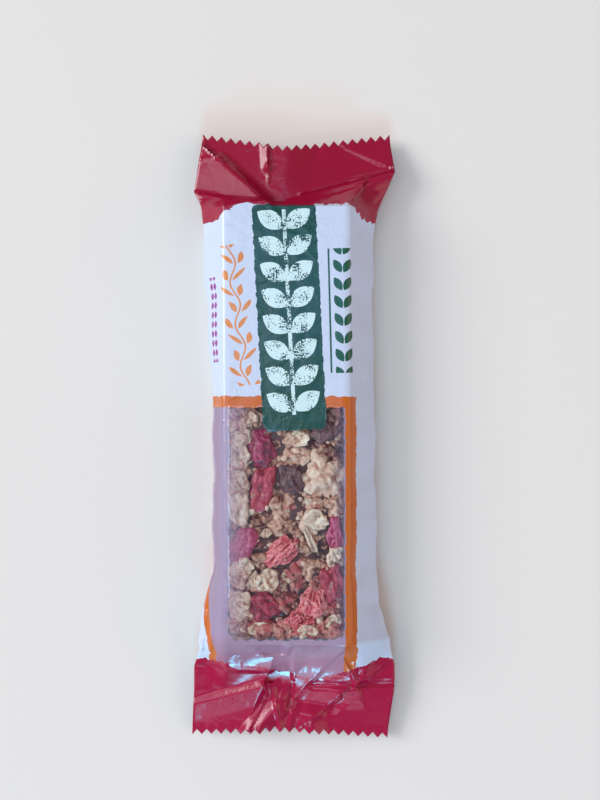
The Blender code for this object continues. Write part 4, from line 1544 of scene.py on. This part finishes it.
    def dried_fruit(self, number: int, name: str) -> bpy.types.Object:
        """One piece of dried fruit, in the place of its solid.

        Args:
            number: Which of the fruits it is.
            name: Its node's name.

        Returns:
            The piece.
        """
        kind, finish, piece = self.fruit[name]
        wrinkle = RIBBED if kind is Fruit.STRAWBERRY else FOLDED
        points, faces = unit_ball(6)
        shift = kind_shift(40 + number)
        half = np.array(piece.half)
        swell = np.array([1.0 + 0.5 * noise.noise(Vector(p) * 1.25 + shift) for p in points])
        depth = np.array([wrinkle.depth(Vector(p), shift) for p in points])
        shaped = np.sign(points) * np.abs(points) ** wrinkle.roundness * swell[:, None]
        shaped = shaped / np.abs(shaped).max(0) * (half + np.array([0.55, 0.85, -0.2]))
        shaped = shaped + points * ((depth - 0.5) * 0.9)[:, None]
        centre = np.array([piece.x, piece.y, self.top + 0.15 - half[2]])
        heap = Heap()
        heap.add(self.inside(turned(shaped, piece.turn) + centre), faces, piece.tone, depth)
        return heap.build(f"dried_{name}", finish.build(), kind.value, name)

    def build(self) -> list[bpy.types.Object]:
        """Makes the whole bar.

        Returns:
            Its pieces.
        """
        made = [self.core(), *self.window_clusters(), self.small_crisps(), self.other_clusters()]
        made += [self.oat_flakes(), self.crumbs()]
        return made + [self.dried_fruit(number, name) for number, name in enumerate(self.fruit)]


# Studio


@dataclass(frozen=True)
class SoftLight:
    """A soft light that faces the pack: its place and sizes in metres, power in watts and linear colour."""

    name: str
    place: Three
    size: tuple[float, float]
    power: float
    colour: Three

    def build(self) -> bpy.types.Object:
        """Hangs the light.

        Returns:
            The light.
        """
        data = bpy.data.lights.new(self.name, "AREA")
        data.shape = "RECTANGLE"
        data.size, data.size_y = self.size
        data.energy = self.power
        data.color = self.colour
        light = bpy.data.objects.new(self.name, data)
        light.location = self.place
        light.rotation_euler = (-Vector(self.place)).to_track_quat("-Z", "Y").to_euler()
        bpy.context.scene.collection.objects.link(light)
        return light


@dataclass
class Studio:
    """The pale floor, soft lights round the pack and the camera straight above."""

    camera_at: Three = (1.4, 9.4, 300.0)
    millimetres_per_pixel: float = 0.25
    print_height: float = 4.0
    image_height: int = 800
    floor: str = "#e8e1d9"
    room: tuple[float, float, float, float] = (0.90, 0.89, 0.92, 1.0)
    room_strength: float = 0.27
    lights: tuple[SoftLight, ...] = (
        SoftLight("window_light", (-2.12, 0.57, 1.30), (1.25, 1.25), 47.0, (0.94, 0.97, 1.0)),
        SoftLight("side_glint", (-1.37, 0.0, 2.12), (0.87, 3.0), 18.2, (0.84, 0.88, 1.0)),
        SoftLight("low_glint", (-0.05, -2.32, 1.25), (0.55, 0.55), 25.0, (0.12, 0.68, 1.0)),
        SoftLight("low_sheen", (-0.37, -1.85, 1.65), (1.75, 0.75), 6.0, (1.0, 0.84, 1.0)),
        SoftLight("sky_sheen", (-0.05, 0.25, 2.5), (0.55, 0.28), 1.9, (0.2, 0.5, 1.0)),
        SoftLight("warm_fill", (2.0, -0.25, 1.37), (2.0, 2.0), 17.0, (1.0, 0.66, 0.52)),
    )

    def build_floor(self) -> bpy.types.Object:
        """Lays a wide plain matt floor.

        Returns:
            The floor.
        """
        deselect_all()
        bpy.ops.mesh.primitive_plane_add(size=24.0, location=(0, 0, 0))
        floor = bpy.context.active_object
        floor.name = floor.data.name = "studio_floor"
        made = bpy.data.materials.new("matt_paper_backdrop")
        made.use_nodes = True
        shader = made.node_tree.nodes["Principled BSDF"]
        shader.inputs["Base Color"].default_value = srgb(self.floor)
        shader.inputs["Roughness"].default_value = 0.9
        shader.inputs["Specular IOR Level"].default_value = 0.1
        dress(floor, made)
        return floor

    def build_lights(self) -> None:
        """Hangs the soft lights and sets the room's own faint light."""
        for light in self.lights:
            light.build()
        world = bpy.context.scene.world or bpy.data.worlds.new("room")
        bpy.context.scene.world = world
        world.use_nodes = True
        background = world.node_tree.nodes["Background"]
        background.inputs["Color"].default_value = self.room
        background.inputs["Strength"].default_value = self.room_strength

    def build_camera(self) -> bpy.types.Object:
        """Puts the camera over the pack, at the photograph's place and scale.

        Returns:
            The camera.
        """
        data = bpy.data.cameras.new("camera")
        data.sensor_width = 36.0
        distance = self.camera_at[2] - self.print_height
        data.lens = distance / self.millimetres_per_pixel * data.sensor_width / self.image_height
        data.clip_start = 0.01
        camera = bpy.data.objects.new("camera", data)
        camera.location = (np.array(self.camera_at) - BOX_MIDDLE) * MM
        camera.rotation_euler = (0.0, 0.0, 0.0)
        bpy.context.scene.collection.objects.link(camera)
        bpy.context.scene.camera = camera
        return camera

    def build(self) -> None:
        """Sets up the whole studio."""
        self.build_floor()
        self.build_lights()
        self.build_camera()
        bpy.context.scene.view_settings.view_transform = "Standard"


def main() -> None:
    """Builds the pack, the bar and the studio, and logs each made piece's triangle count."""
    logging.basicConfig(level=logging.INFO, format="%(name)s: %(message)s")
    # Without a seed the noise that sways the creases starts from the clock, and no two runs are alike.
    noise.seed_set(NOISE_SEED)
    made = [FlowWrap().build(), *PressedBar().build()]
    for piece in made:
        triangles = sum(len(face.vertices) - 2 for face in piece.data.polygons)
        log.info("%s: %d triangles", piece.name, triangles)
    Studio().build()


if __name__ == "__main__":
    main()
